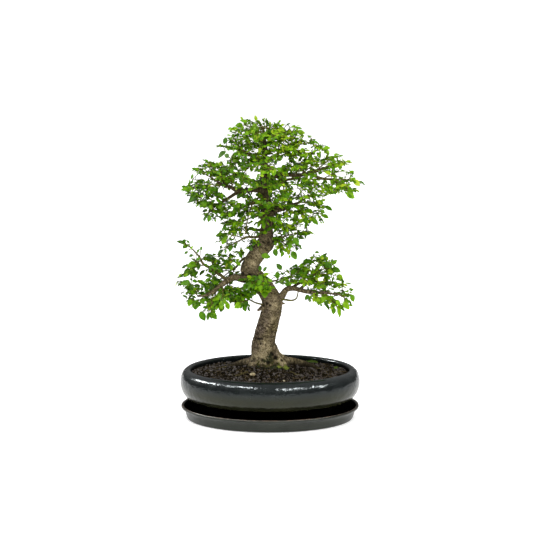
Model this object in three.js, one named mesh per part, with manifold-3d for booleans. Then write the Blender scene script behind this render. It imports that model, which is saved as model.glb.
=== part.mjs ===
// A zelkova bonsai in an oval glazed pot on its saucer. Millimetres, +Z up, +Y away from the viewer.
// The origin is the centre of the saucer's underside.
import * as THREE from "three";
import { mergeVertices } from "three/addons/utils/BufferGeometryUtils.js";
import Module from "manifold-3d";

const wasm = await Module();
wasm.setup();

// Driving dimensions of the pot and saucer
const CLEARANCE = 0.3;
const OVAL_NARROWING = 26.5;
const OVAL_CORE = 100;
const OVAL_STEPS = 28;
const POT_HALF_WIDTH = 141;
const POT_ARRIS_Z = 34;
const POT_FLOOR_Z = 26;
const POT_FLOOR_THICKNESS = 9;
const POT_FLOOR_TOP = POT_FLOOR_Z + POT_FLOOR_THICKNESS;
const SAUCER_HALF_WIDTH = 139.5;
const SAUCER_FLOOR_Z = 8;
const SAUCER_LIP_Z = 21.5;
const FOOT = { width: 34, depth: 18, x: 78, y: 50, root: 4 };
const DRAIN = { radius: 9, x: 52, sides: 12 };
const NET = { side: 28, thickness: 1 };
const CUT_MARGIN = 5;

// Outlines from the middle of the underside to the middle of the top: distance in from the half width, height
const SAUCER_OUTLINE = [
  [12.5, 0], [9, 2], [5.5, 13], [0, 18.2], [0, SAUCER_LIP_Z - 0.6], [1.5, SAUCER_LIP_Z],
  [4, SAUCER_LIP_Z - 1], [9, 15.5], [13, SAUCER_FLOOR_Z + 1], [18, SAUCER_FLOOR_Z],
];
const POT_OUTLINE = [
  [40, POT_FLOOR_Z], [10, POT_ARRIS_Z], [3.6, 43], [0.6, 52], [0, 60], [1.6, 68.5], [5.6, 75.5], [12.5, 79],
  [17, 76.5], [16, 70], [9, 58], [12, 44], [24, POT_FLOOR_TOP],
];

// Driving dimensions of the soil and the trunk's foot
const SOIL_EDGE_Z = 70;
const SOIL_EDGE_INSET = 16.35;
const SOIL_OUTLINE = [
  [24.2, POT_FLOOR_TOP + CLEARANCE], [12.35, 44.05], [9.35, 58], [SOIL_EDGE_INSET, SOIL_EDGE_Z],
];
const SOIL_RINGS = [0.7, 0.5, 0.3, 0.14];
const SOIL_MOUND = { x: -6, y: 15, height: 14, spreadX: 75, spreadY: 42 };
const PLUG = { x: -6, y: 21, radius: 15, bottom: 50, top: 100 };
const STONE = { x: -27, y: -30, radius: 4.6, widening: 1.15, flattening: 0.7, standing: 0.45 };

// Sides of each round of wood
const TRUNK_SIDES = 10;
const LIMB_SIDES = 6;
const ROOT_SIDES = 5;

// Driving dimensions of the foliage
const SEAT_CLEARANCE = 0.35;
const TWIG_RADIUS = { root: 1.1, tip: 0.6 };
const TWIG_FLATNESS = 0.8;
const BLADE_THICKNESS = 0.7;
const TEST_GROWTH = 0.3;
const LEAF_LENGTH = { low: 17, high: 12.5, lowZ: 180, highZ: 450 };
const LEAF_WIDTH_RATIO = 0.58;
const LEAF_FOLD = 0.25;
const LEAF_DROOP = 0.22;
const LEAF_STALK_HALF_WIDTH = 0.55;
const UP = new THREE.Vector3(0, 0, 1);

// A twig more upright than this counts as standing, and its leaves face outward
const LEAST_LYING = 0.35;
const END_PLACE = 0.95;

// How a spray grows: shares of its own length, and the usual places of its side leaves along it
const SPRAY = {
  longFrom: 34,
  lift: [0.04, 0.14],
  sway: [-0.12, 0.12],
  leafPlaces: [0.78, 0.5],
  leafShift: [-0.06, 0.06],
};

// How a leaf leaves its twig: parts of its heading, roll in radians and length against the usual one
const LEAF_STAND = {
  ahead: 0.35,
  out: 0.9,
  sway: [-0.15, 0.15],
  rise: [-0.5, -0.06],
  roll: [-0.45, 0.45],
  size: [0.84, 1.16],
};

// One side of a leaf from its stalk to its tip, along and across: a tooth, the notch behind it and a tooth
const LEAF_EDGE = [[0.32, 0.5], [0.5, 0.4], [0.66, 0.46]];

// Each path runs along the middle of the wood: x, y, z, radius
const TRUNK = [
  [-6, 23, 68, 25], [-7, 22, 88, 24], [-8.5, 20, 104, 21.2], [-9, 17.5, 119, 18.2], [-3, 13, 147, 16.8],
  [3, 8, 172, 15.4], [2, 5, 187, 15.4], [-5, 1, 202, 14.2], [-17, -4, 219, 13.6], [-30, -6, 231, 13.4],
  [-32, -6, 239, 13.6], [-27, -5, 251, 12.6], [-17, -3, 265, 12.8], [-7, 0, 278, 13.8], [-6, 2, 290, 11.2],
  [-5, 3, 304, 9.6], [-4, 4, 329, 9.4], [-8.5, 4, 361, 7.5], [-9, 2, 392, 5.8], [-8, 1, 424, 4.2],
  [-9, 0, 438, 3.4],
];
const ROOTS = [
  [[-10, 16, 99, 14], [-29, 17, 86, 8], [-52, 18, 81.5, 4.6], [-76, 20, 71, 2.6]],
  [[-2, 16, 99, 14], [19, 17, 88, 8.5], [42, 18, 84.5, 5.6], [61, 21, 80, 4], [82, 25, 70, 2.6]],
  [[-12, 15, 99, 13], [-22, 10, 89, 9.5], [-30, 6, 81, 5.5], [-38, 2, 71, 2.6]],
  [[-5, 14, 100, 14], [-4, 6, 89, 11.5], [-2, 2, 78, 7]],
  [[2, 15, 99, 13], [13, 10, 88, 9], [22, 5, 80.5, 6], [33, 0, 71, 2.8]],
  [[-12, 20, 98, 12], [-25, 36, 85, 6.5], [-40, 51, 71, 2.6]],
  [[0, 20, 98, 12], [13, 37, 85, 6.5], [28, 53, 71, 2.6]],
];
const LIMBS = {
  low_left: [[-20, -2, 226, 8], [-37, -8, 222, 6.4], [-56, -14, 226, 5.2], [-71, -20, 219, 4.6],
    [-84, -24, 209, 4], [-96, -28, 202, 3], [-113, -32, 200, 1.8]],
  low_right: [[8, 6, 180, 7], [19, 2, 194, 5.6], [26, -2, 205, 4.8], [37, -5, 207, 4.2], [53, -10, 204, 3.8],
    [69, -14, 202, 3.2], [85, -18, 203, 2.6], [110, -22, 200, 1.6]],
  crown_left: [[-9, 4, 359, 5], [-25, -2, 362, 4.2], [-48, -10, 361, 3.6], [-61, -14, 368, 2.8],
    [-73, -18, 372, 2.4], [-86, -20, 381, 1.7]],
  crown_left_low: [[-48, -10, 361, 3], [-63, -4, 350, 2.8], [-78, 2, 340, 2.4], [-92, 6, 334, 1.7]],
  crown_right: [[-9, 3, 376, 4.6], [18, -4, 386, 3.6], [38, -10, 386, 3.2], [62, -14, 390, 2.6],
    [84, -16, 399, 1.7]],
  crown_right_low: [[-6, 4, 329, 6.5], [16, -2, 332, 5], [31, -6, 338, 3.2], [48, -10, 344, 1.9]],
};
const STUBS = [
  [[-10, -4, 178, 5], [-20, -8, 172, 1.8]],
  [[10, 2, 184, 4], [24, -2, 182, 1.4]],
  [[0, 2, 330, 8], [9, -3, 326, 6.5]],
  [[-8, -2, 282, 8], [-4, -10, 286, 5]],
];

// Leafy stems that leave the wood on their own thin branch, each with the tips of its sprays
const STEMS = {
  top: {
    path: [[-9, 0, 430, 3], [-9, 0, 448, 2.6], [-12, 0, 461, 1.6]],
    tips: [[0.98, -16, 3, 466], [0.85, -42, -10, 464], [0.9, 12, -12, 459], [0.7, -24, -38, 452],
      [0.75, -2, 36, 458], [0.6, 42, 6, 452], [0.5, -47, 14, 446], [0.3, -16, -30, 440]],
  },
  crown_left_up: {
    path: [[-9, 2, 398, 3], [-28, -4, 415, 2.2], [-46, -8, 425, 1.4]],
    tips: [[0.98, -76, -14, 432], [0.8, -60, 18, 438], [0.7, -50, -36, 424], [0.55, -56, 12, 402],
      [0.35, -40, -20, 392]],
  },
  crown_right_up: {
    path: [[-9, 2, 402, 3], [3, -2, 412, 2.2], [17, -5, 423, 1.4]],
    tips: [[0.98, 60, -12, 437], [0.9, 46, 18, 434], [0.7, 24, -38, 430], [0.8, 18, 10, 448]],
  },
  crown_front_up: {
    path: [[-9, 1, 384, 2.6], [-6, -22, 396, 2], [-3, -40, 406, 1.3]],
    tips: [[0.98, 4, -70, 402], [0.85, -32, -58, 410], [0.7, 24, -54, 394], [0.45, 0, -54, 370]],
  },
  crown_back_up: {
    path: [[-9, 3, 404, 2.6], [-6, 26, 411, 2], [-3, 44, 418, 1.3]],
    tips: [[0.98, -4, 72, 414], [0.85, -38, 56, 422], [0.8, 30, 58, 420], [0.5, -22, 34, 440]],
  },
  crown_left_back: {
    path: [[-9, 4, 366, 3], [-31, 22, 374, 2.4], [-53, 38, 381, 1.9], [-72, 46, 386, 1.2]],
    tips: [[0.98, -102, 54, 380], [0.8, -80, 74, 370], [0.6, -64, 50, 406], [0.7, -82, 38, 356],
      [0.3, -46, 42, 350]],
  },
  crown_mid_left: {
    path: [[-8, 3, 338, 2.8], [-25, -8, 342, 2], [-40, -16, 338, 1.3]],
    tips: [[0.98, -68, -30, 326], [0.8, -46, -50, 344]],
  },
  crown_right_out: {
    path: [[58, -13, 389, 2.4], [82, -6, 380, 2], [104, 2, 378, 1.3]],
    tips: [[0.98, 138, 6, 374], [0.75, 122, -22, 362], [0.7, 112, 30, 368], [0.5, 108, -14, 392]],
  },
  crown_right_back: {
    path: [[-9, 4, 372, 3], [16, 24, 372, 2.4], [41, 42, 373, 1.9], [60, 52, 370, 1.2]],
    tips: [[0.98, 92, 60, 368], [0.85, 62, 80, 356], [0.15, 20, 44, 368], [0.6, 50, 56, 394],
      [0.35, 30, 34, 342], [0.7, 78, 44, 400]],
  },
  crown_front_low: {
    path: [[-9, 2, 312, 2.8], [-12, -24, 321, 2.2], [-18, -44, 332, 1.3]],
    tips: [[0.98, -24, -72, 334], [0.75, -50, -48, 318], [0.65, 12, -56, 324], [0.4, 6, -36, 348]],
  },
  crown_back_low: {
    path: [[-9, 4, 318, 2.8], [-13, 30, 326, 2.2], [-19, 54, 332, 1.3]],
    tips: [[0.98, -30, 82, 330], [0.8, -54, 58, 320], [0.7, 14, 70, 328], [0.35, -54, 16, 322],
      [0.2, 6, 38, 300]],
  },
  crown_low_left: {
    path: [[-9, 1, 292, 2.8], [-22, -4, 288, 2.2], [-36, -10, 289, 1.8], [-48, -14, 284, 1.2]],
    tips: [[0.98, -72, -16, 270], [0.8, -72, -24, 296], [0.5, -44, 14, 300], [0.7, -52, 12, 276]],
  },
  crown_low_right: {
    path: [[-6, 0, 279, 2.6], [9, -5, 284, 2], [25, -9, 291, 1.3]],
    tips: [[0.98, 58, -12, 298], [0.7, 34, -18, 268], [0.6, 44, 22, 308]],
  },
  low_left_up: {
    path: [[-66, -18, 222, 2.8], [-86, -14, 237, 2.4], [-103, -8, 246, 2], [-110, -4, 257, 1.6],
      [-120, -1, 268, 1.2]],
    tips: [[0.99, -132, 1, 277], [0.62, -116, -16, 250], [0.45, -126, 12, 234], [0.3, -88, 6, 250],
      [0.2, -94, 10, 220]],
  },
  low_left_back: {
    path: [[-28, 0, 256, 2.6], [-42, 10, 251, 2], [-53, 22, 236, 1.8], [-63, 34, 227, 1.2]],
    tips: [[0.98, -90, 48, 224], [0.8, -62, 62, 210], [0.55, -66, 14, 254], [0.9, -98, 24, 196],
      [0.7, -102, 28, 230]],
  },
  low_left_thin: {
    path: [[-5, 4, 180, 1.8], [-14, -4, 182, 1.5], [-26, -10, 187, 1.3], [-38, -16, 196, 1]],
    tips: [[0.98, -58, -26, 210], [0.8, -46, -38, 190]],
  },
  low_right_up: {
    path: [[46, -8, 206, 2.6], [59, -2, 217, 2.2], [70, 6, 229, 1.8], [75, 8, 238, 1.2]],
    tips: [[0.98, 80, 10, 250], [0.85, 97, 2, 238], [0.55, 50, 12, 232], [0.6, 104, 22, 222],
      [0.4, 70, -18, 240]],
  },
  low_right_back: {
    path: [[33, -4, 207, 2.6], [47, 10, 213, 2.2], [63, 26, 213, 1.8], [82, 38, 209, 1.2]],
    tips: [[0.98, 108, 48, 204], [0.8, 82, 62, 200], [0.5, 50, 40, 226]],
  },
  low_back: {
    path: [[-11, 2, 208, 3], [-6, 30, 209, 2.4], [3, 55, 207, 1.8], [9, 70, 205, 1.2]],
    tips: [[0.98, 18, 96, 198], [0.85, -20, 86, 204], [0.6, 34, 62, 214], [0.5, -32, 48, 214]],
  },
};

// Sprays that stand straight on a limb or on the trunk: limb, place along it, tip
const SPRAYS = {
  crown_left: [[0.98, -112, -24, 396], [0.85, -128, -14, 366], [0.7, -96, 2, 404], [0.8, -88, -46, 372],
    [0.55, -62, -40, 388]],
  crown_left_low: [[0.98, -114, 4, 344], [0.8, -97, -18, 325], [0.75, -89, 32, 328]],
  crown_right: [[0.98, 116, -22, 408], [0.85, 100, 8, 414], [0.7, 84, -40, 396], [0.5, 48, -38, 404],
    [0.62, 64, -10, 419]],
  crown_right_low: [[0.98, 84, -14, 338], [0.8, 66, 14, 352], [0.7, 64, -28, 322], [0.6, 40, -38, 342]],
  low_left: [[0.98, -125, -34, 212], [0.85, -116, -40, 190], [0.72, -94, -48, 178], [0.55, -74, -46, 196],
    [0.7, -104, -4, 188], [0.42, -64, 20, 196], [0.66, -90, 2, 170], [0.92, -126, -8, 216]],
  low_right: [[0.98, 121, -24, 192], [0.85, 104, -36, 182], [0.7, 84, -38, 192], [0.75, 98, 4, 188],
    [0.35, 34, -14, 230], [0.93, 116, 8, 196]],
  trunk: [[0.415, -34, -36, 221], [0.375, -8, -34, 210]],
};

// A repeatable draw between 0 and 1
function seededDraw(seed) {
  let state = seed;
  return () => {
    state = (state * 48271) % 2147483647;
    return state / 2147483647;
  };
}

function toSolid(geometry) {
  geometry.deleteAttribute("normal");
  geometry.deleteAttribute("uv");
  const merged = mergeVertices(geometry, 1e-4);
  return new wasm.Manifold(new wasm.Mesh({
    numProp: 3,
    vertProperties: new Float32Array(merged.attributes.position.array),
    triVerts: new Uint32Array(merged.index.array),
  }));
}

function toGeometry(solid) {
  const mesh = solid.getMesh();
  const geometry = new THREE.BufferGeometry();
  geometry.setAttribute("position", new THREE.BufferAttribute(mesh.vertProperties, 3));
  geometry.setIndex(new THREE.BufferAttribute(mesh.triVerts, 1));
  geometry.computeVertexNormals();
  return geometry;
}

function moveVertices(geometry, move) {
  const position = geometry.attributes.position;
  const point = new THREE.Vector3();
  for (let i = 0; i < position.count; i += 1) {
    point.fromBufferAttribute(position, i);
    move(point);
    position.setXYZ(i, point.x, point.y, point.z);
  }
  return geometry;
}

// Narrows a round turned shape front to back by the same length all round, so its wall keeps its thickness
function makeOval(point) {
  const radius = Math.hypot(point.x, point.y);
  const narrowing = OVAL_NARROWING * Math.min(1, radius / OVAL_CORE);
  if (radius > 0) point.y *= (radius - narrowing) / radius;
}

// A round turned shape, from the axis through an outline and back to the axis
function turnedShape(outline, halfWidth) {
  const rings = outline.map(([inset, z]) => new THREE.Vector2(halfWidth - inset, z));
  const bottom = new THREE.Vector2(0, rings[0].y);
  const top = new THREE.Vector2(0, rings[rings.length - 1].y);
  const geometry = new THREE.LatheGeometry([bottom, ...rings, top], OVAL_STEPS);
  return geometry.rotateX(Math.PI / 2);
}

function ovalSolid(outline, halfWidth) {
  return toSolid(moveVertices(turnedShape(outline, halfWidth), makeOval));
}

function uprightCylinder(radius, bottom, top, x, y, sides = 20) {
  const geometry = new THREE.CylinderGeometry(radius, radius, top - bottom, sides);
  geometry.rotateX(Math.PI / 2);
  geometry.translate(x, y, (top + bottom) / 2);
  return toSolid(geometry);
}

function box(width, depth, bottom, top, x, y) {
  const geometry = new THREE.BoxGeometry(width, depth, top - bottom);
  geometry.translate(x, y, (top + bottom) / 2);
  return toSolid(geometry);
}

// A round of wood bent along a curve, its radius given at each place from 0 to 1
function bentTube(curve, radiusAt, sides, steps) {
  const places = Array.from({ length: steps + 1 }, (_, i) => i / steps);
  const tangents = places.map((t) => curve.getTangent(t));
  const side = new THREE.Vector3(1, 0.3, 0.2).cross(tangents[0]).normalize();
  const frames = tangents.map((tangent, i) => {
    if (i > 0) side.applyQuaternion(new THREE.Quaternion().setFromUnitVectors(tangents[i - 1], tangent));
    return { side: side.clone(), binormal: side.clone().cross(tangent) };
  });
  const geometry = new THREE.CylinderGeometry(1, 1, 1, sides, steps);
  return moveVertices(geometry, (point) => {
    const place = point.y + 0.5;
    const frame = frames[Math.round(place * steps)];
    const radius = radiusAt(place);
    const { x, z } = point;
    point.copy(curve.getPoint(place));
    point.addScaledVector(frame.side, x * radius);
    point.addScaledVector(frame.binormal, z * radius);
  });
}

function pathCurve(path) {
  const points = path.map(([x, y, z]) => new THREE.Vector3(x, y, z));
  return new THREE.CatmullRomCurve3(points, false, "catmullrom", 0.5);
}

function pathRadius(path, place) {
  const at = Math.min(place * (path.length - 1), path.length - 1 - 1e-9);
  const before = Math.floor(at);
  return THREE.MathUtils.lerp(path[before][3], path[before + 1][3], at - before);
}

function woodTube(path, growth, sides) {
  return toSolid(bentTube(pathCurve(path), (t) => pathRadius(path, t) + growth, sides, path.length - 1));
}

// Soil height above the rim of the bed, a low mound round the trunk
function moundHeight(x, y) {
  const across = (x - SOIL_MOUND.x) / SOIL_MOUND.spreadX;
  const along = (y - SOIL_MOUND.y) / SOIL_MOUND.spreadY;
  return SOIL_MOUND.height * Math.exp(-across * across - along * along);
}

function makePot() {
  let pot = ovalSolid(POT_OUTLINE, POT_HALF_WIDTH);
  for (const x of [-FOOT.x, FOOT.x]) {
    for (const y of [-FOOT.y, FOOT.y]) {
      pot = pot.add(box(FOOT.width, FOOT.depth, SAUCER_FLOOR_Z + CLEARANCE, POT_FLOOR_Z + FOOT.root, x, y));
    }
  }
  for (const x of [-DRAIN.x, DRAIN.x]) {
    const [bottom, top] = [POT_FLOOR_Z - CUT_MARGIN, POT_FLOOR_TOP + CUT_MARGIN];
    pot = pot.subtract(uprightCylinder(DRAIN.radius, bottom, top, x, 0, DRAIN.sides));
  }
  return pot;
}

function makeNet(x) {
  const bottom = POT_FLOOR_TOP + CLEARANCE;
  return box(NET.side, NET.side, bottom, bottom + NET.thickness, x, 0);
}

// The bed of soil, lifted by a given height, with a plain round hole for the trunk's foot
function soilBlock(lift, holeRadius) {
  const half = POT_HALF_WIDTH;
  const rings = SOIL_RINGS.map((share) => [half - share * half, SOIL_EDGE_Z]);
  const geometry = turnedShape([...SOIL_OUTLINE, ...rings], half);
  moveVertices(geometry, (point) => {
    const isOnTop = point.z > SOIL_EDGE_Z - 0.01;
    const isInsideEdge = Math.hypot(point.x, point.y) < half - SOIL_EDGE_INSET - 1;
    makeOval(point);
    if (isOnTop && isInsideEdge) point.z += moundHeight(point.x, point.y);
    point.z += lift;
  });
  const hole = uprightCylinder(holeRadius, PLUG.bottom - CLEARANCE, PLUG.top + CUT_MARGIN, PLUG.x, PLUG.y);
  return toSolid(geometry).subtract(hole);
}

function makeSoil() {
  let soil = soilBlock(0, PLUG.radius + CLEARANCE);
  for (const x of [-DRAIN.x, DRAIN.x]) {
    const side = NET.side + 2 * CLEARANCE;
    const top = POT_FLOOR_TOP + NET.thickness + 2 * CLEARANCE;
    soil = soil.subtract(box(side, side, POT_FLOOR_TOP, top, x, 0));
  }
  return soil;
}

// Trunk, roots, limbs and cut stubs, each thicker by the growth
function allWood(growth) {
  let wood = woodTube(TRUNK, growth, TRUNK_SIDES);
  for (const path of ROOTS) wood = wood.add(woodTube(path, growth, ROOT_SIDES));
  for (const path of Object.values(LIMBS)) wood = wood.add(woodTube(path, growth, LIMB_SIDES));
  for (const path of STUBS) wood = wood.add(woodTube(path, growth, ROOT_SIDES));
  return wood;
}

function makeTrunk() {
  const plug = uprightCylinder(PLUG.radius, PLUG.bottom, PLUG.top, PLUG.x, PLUG.y);
  const ground = soilBlock(CLEARANCE, PLUG.radius);
  const block = box(2 * POT_HALF_WIDTH, 2 * POT_HALF_WIDTH, 0, SOIL_EDGE_Z - CUT_MARGIN, 0, 0);
  return largestPiece(allWood(0).subtract(block).subtract(ground).add(plug.subtract(ground)));
}

function makeStone() {
  const geometry = new THREE.IcosahedronGeometry(STONE.radius, 1);
  const ground = SOIL_EDGE_Z + moundHeight(STONE.x, STONE.y);
  moveVertices(geometry, (point) => {
    point.z *= STONE.flattening;
    point.x *= STONE.widening;
  });
  geometry.translate(STONE.x, STONE.y, ground + STONE.radius * STONE.standing);
  return toSolid(geometry).subtract(soilBlock(CLEARANCE, PLUG.radius));
}

// A web is a sheet of triangles with a thickness of its own at each point; its rim is walled all round
function newWeb() {
  return { points: [], normals: [], halves: [], triangles: [] };
}

function addPoint(web, point, normal, half) {
  web.points.push(point);
  web.normals.push(normal);
  web.halves.push(half);
  return web.points.length - 1;
}

function webSolid(web) {
  const count = web.points.length;
  const positions = [];
  for (const side of [1, -1]) {
    web.points.forEach((point, i) => {
      const shifted = point.clone().addScaledVector(web.normals[i], side * web.halves[i]);
      positions.push(shifted.x, shifted.y, shifted.z);
    });
  }
  const rims = new Map();
  for (const [a, b, c] of web.triangles) {
    for (const [from, to] of [[a, b], [b, c], [c, a]]) {
      if (!rims.delete(`${to} ${from}`)) rims.set(`${from} ${to}`, [from, to]);
    }
  }
  const index = web.triangles.flatMap(([a, b, c]) => [a, b, c, count + a, count + c, count + b]);
  for (const [from, to] of rims.values()) {
    index.push(from, count + to, to, from, count + from, count + to);
  }
  const geometry = new THREE.BufferGeometry();
  geometry.setAttribute("position", new THREE.Float32BufferAttribute(positions, 3));
  geometry.setIndex(index);
  return toSolid(geometry);
}

// Left of a heading, as near as can be to a wanted direction
function leftOf(heading, wanted) {
  return wanted.clone().addScaledVector(heading, -heading.dot(wanted)).normalize();
}

function twigFrame(twig, place) {
  const heading = twig.curve.getTangent(place);
  const left = leftOf(heading, twig.wantedLeft);
  const radius = THREE.MathUtils.lerp(twig.radius.root, twig.radius.tip, place) + twig.growth;
  return { point: twig.curve.getPoint(place), left, normal: heading.clone().cross(left), radius };
}

// Adds a twig to a web as a strip between two edges, and lets its side twigs and leaves grow from its edges
function growTwig(web, twig, opening) {
  const edges = { left: [], right: [] };
  const addEdge = (side, place) => {
    const frame = twigFrame(twig, place);
    const sign = side === "left" ? 1 : -1;
    const point = frame.point.addScaledVector(frame.left, sign * frame.radius);
    const id = addPoint(web, point, frame.normal, frame.radius * TWIG_FLATNESS);
    edges[side].push({ place, id });
    return id;
  };
  if (opening) {
    edges.left.push({ place: 0, id: opening.left });
    edges.right.push({ place: 0, id: opening.right });
  }
  const firstStep = opening ? 1 : 0;
  for (let i = firstStep; i <= twig.steps; i += 1) {
    addEdge("left", i / twig.steps);
    addEdge("right", i / twig.steps);
  }
  const openings = twig.children.map((child) => {
    const half = child.foot / twig.curve.getLength();
    const ids = [addEdge(child.side, child.place - half), addEdge(child.side, child.place + half)];
    return child.side === "left" ? { left: ids[0], right: ids[1] } : { left: ids[1], right: ids[0] };
  });
  const left = edges.left.sort((a, b) => a.place - b.place);
  const right = edges.right.sort((a, b) => a.place - b.place);
  let i = 0;
  let j = 0;
  while (i < right.length - 1 || j < left.length - 1) {
    const nextRight = i < right.length - 1 ? right[i + 1].place : Infinity;
    const nextLeft = j < left.length - 1 ? left[j + 1].place : Infinity;
    if (nextRight <= nextLeft) {
      web.triangles.push([right[i].id, right[i + 1].id, left[j].id]);
      i += 1;
    } else {
      web.triangles.push([right[i].id, left[j + 1].id, left[j].id]);
      j += 1;
    }
  }
  const end = { left: left[j].id, right: right[i].id };
  twig.children.forEach((child, k) => growFrom(web, child, openings[k]));
  if (twig.end) growFrom(web, twig.end, end);
}

// Adds a leaf blade to a web: a fan from its tip, folded up along its midrib, with a drooping tip
function growLeaf(web, leaf, opening) {
  const width = leaf.length * LEAF_WIDTH_RATIO;
  const add = ([along, across]) => {
    const rise = LEAF_FOLD * Math.abs(across) * width - LEAF_DROOP * along * along * leaf.length;
    const point = leaf.root.clone().addScaledVector(leaf.heading, along * leaf.length);
    point.addScaledVector(leaf.left, across * width).addScaledVector(leaf.normal, rise);
    return addPoint(web, point, leaf.normal, BLADE_THICKNESS / 2 + leaf.growth);
  };
  const base = opening ?? { left: add([0, 0.05]), right: add([0, -0.05]) };
  const right = LEAF_EDGE.map(([along, across]) => add([along, -across]));
  const tip = add([1, 0]);
  const left = LEAF_EDGE.map(add).reverse();
  const ring = [...left, base.left, base.right, ...right];
  for (let i = 0; i < ring.length - 1; i += 1) web.triangles.push([tip, ring[i], ring[i + 1]]);
}

function growFrom(web, piece, opening) {
  if (piece.curve) growTwig(web, piece, opening);
  else growLeaf(web, piece, opening);
}

function newTwig(curve, wantedLeft, radius, steps) {
  return { curve, wantedLeft, radius, steps, growth: 0, foot: radius.root, children: [], end: null };
}

// A leaf that heads out from its root, with its blade turned about its own line by a roll
function newLeaf(root, heading, wantedLeft, roll, length) {
  const left = leftOf(heading, wantedLeft).applyAxisAngle(heading, roll);
  const normal = heading.clone().cross(left);
  return { root, heading, left, normal, length, growth: 0, foot: LEAF_STALK_HALF_WIDTH };
}

// Sets a piece on one edge of a twig, left where the sign is above 0
function setOnEdge(twig, place, sign, piece) {
  piece.place = place;
  piece.side = sign > 0 ? "left" : "right";
  twig.children.push(piece);
}

function bentLine(from, to, lift, sway, side) {
  const length = from.distanceTo(to);
  const bend = from.clone().lerp(to, 0.5);
  bend.addScaledVector(UP, length * lift);
  bend.addScaledVector(side, length * sway);
  return new THREE.QuadraticBezierCurve3(from, bend, to);
}

// A spray: a bent twig with a leaf at its end and others on either side by turns
function makeSpray(foot, tip, wantedLeft, seed) {
  const draw = seededDraw(seed);
  const between = ([low, high]) => THREE.MathUtils.lerp(low, high, draw());
  const length = foot.distanceTo(tip);
  const across = leftOf(tip.clone().sub(foot).normalize(), wantedLeft);
  const curve = bentLine(foot, tip, between(SPRAY.lift), between(SPRAY.sway), across);
  const twig = newTwig(curve, wantedLeft, TWIG_RADIUS, length > SPRAY.longFrom ? 2 : 1);
  const { lowZ, highZ, low, high } = LEAF_LENGTH;
  const leafLength = THREE.MathUtils.mapLinear(tip.z, lowZ, highZ, low, high);
  const makeLeaf = (place, sign) => {
    const frame = twigFrame(twig, place);
    const heading = curve.getTangent(place).multiplyScalar(sign === 0 ? 1 : LEAF_STAND.ahead);
    heading.addScaledVector(frame.left, sign * LEAF_STAND.out + between(LEAF_STAND.sway));
    heading.addScaledVector(UP, between(LEAF_STAND.rise)).normalize();
    const leafLeft = sign === 0 ? frame.left : curve.getTangent(place).multiplyScalar(-sign);
    const root = frame.point.addScaledVector(frame.left, sign * frame.radius);
    return newLeaf(root, heading, leafLeft, between(LEAF_STAND.roll), leafLength * between(LEAF_STAND.size));
  };
  let sign = draw() < 0.5 ? 1 : -1;
  twig.end = makeLeaf(1, 0);
  for (const usual of SPRAY.leafPlaces) {
    const place = usual + between(SPRAY.leafShift);
    setOnEdge(twig, place, sign, makeLeaf(place, sign));
    sign = -sign;
  }
  return twig;
}

// Left of a twig that leaves the wood, so that its leaves face up, or outward where it stands upright
function firstLeft(heading, outward) {
  const lying = UP.clone().cross(heading);
  if (lying.length() > LEAST_LYING) return lying.normalize();
  return outward.clone().cross(heading).normalize();
}

// Lists every leafy node as the one twig or stem that it grows from
function planFoliage() {
  const nodes = [];
  let seed = 11;
  const plan = (foot, [, x, y, z], wantedLeft) => {
    seed += 37;
    return makeSpray(foot, new THREE.Vector3(x, y, z), wantedLeft, seed);
  };
  for (const [name, { path, tips }] of Object.entries(STEMS)) {
    const curve = pathCurve(path);
    const heading = curve.getTangent(0.5);
    const outward = curve.getPoint(1).setZ(0).normalize();
    const radius = { root: path[0][3], tip: path[path.length - 1][3] };
    const stem = newTwig(curve, firstLeft(heading, outward), radius, path.length);
    for (const tip of tips) {
      const target = new THREE.Vector3(tip[1], tip[2], tip[3]);
      const frame = twigFrame(stem, tip[0]);
      const sign = target.clone().sub(frame.point).dot(frame.left) > 0 ? 1 : -1;
      if (tip[0] > END_PLACE) {
        stem.end = plan(frame.point, tip, frame.left);
        continue;
      }
      const foot = frame.point.clone().addScaledVector(frame.left, sign * frame.radius);
      const wantedLeft = curve.getTangent(tip[0]).multiplyScalar(-sign);
      setOnEdge(stem, tip[0], sign, plan(foot, tip, wantedLeft));
    }
    nodes.push({ name: `leafy_stem_${name}`, root: stem });
  }
  for (const [limb, tips] of Object.entries(SPRAYS)) {
    const curve = pathCurve(limb === "trunk" ? TRUNK : LIMBS[limb]);
    tips.forEach((tip, i) => {
      const foot = curve.getPoint(tip[0]);
      const heading = new THREE.Vector3(tip[1], tip[2], tip[3]).sub(foot).normalize();
      const outward = new THREE.Vector3(tip[1], tip[2], 0).normalize();
      nodes.push({ name: `spray_${limb}_${i + 1}`, root: plan(foot, tip, firstLeft(heading, outward)) });
    });
  }
  return nodes;
}

function boxesMeet(a, b) {
  return a.min.every((low, i) => low < b.max[i]) && a.max.every((high, i) => high > b.min[i]);
}

function meets(solid, others) {
  const bounds = solid.boundingBox();
  return others.some((other) => boxesMeet(bounds, other.bounds) && !solid.intersect(other.solid).isEmpty());
}

// One twig or leaf alone, thicker by the growth
function loneSolid(piece, growth) {
  const web = newWeb();
  growFrom(web, { ...piece, growth, children: [], end: null }, null);
  return webSolid(web);
}

function largestPiece(solid) {
  return solid.decompose().sort((a, b) => b.volume() - a.volume())[0];
}

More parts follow.
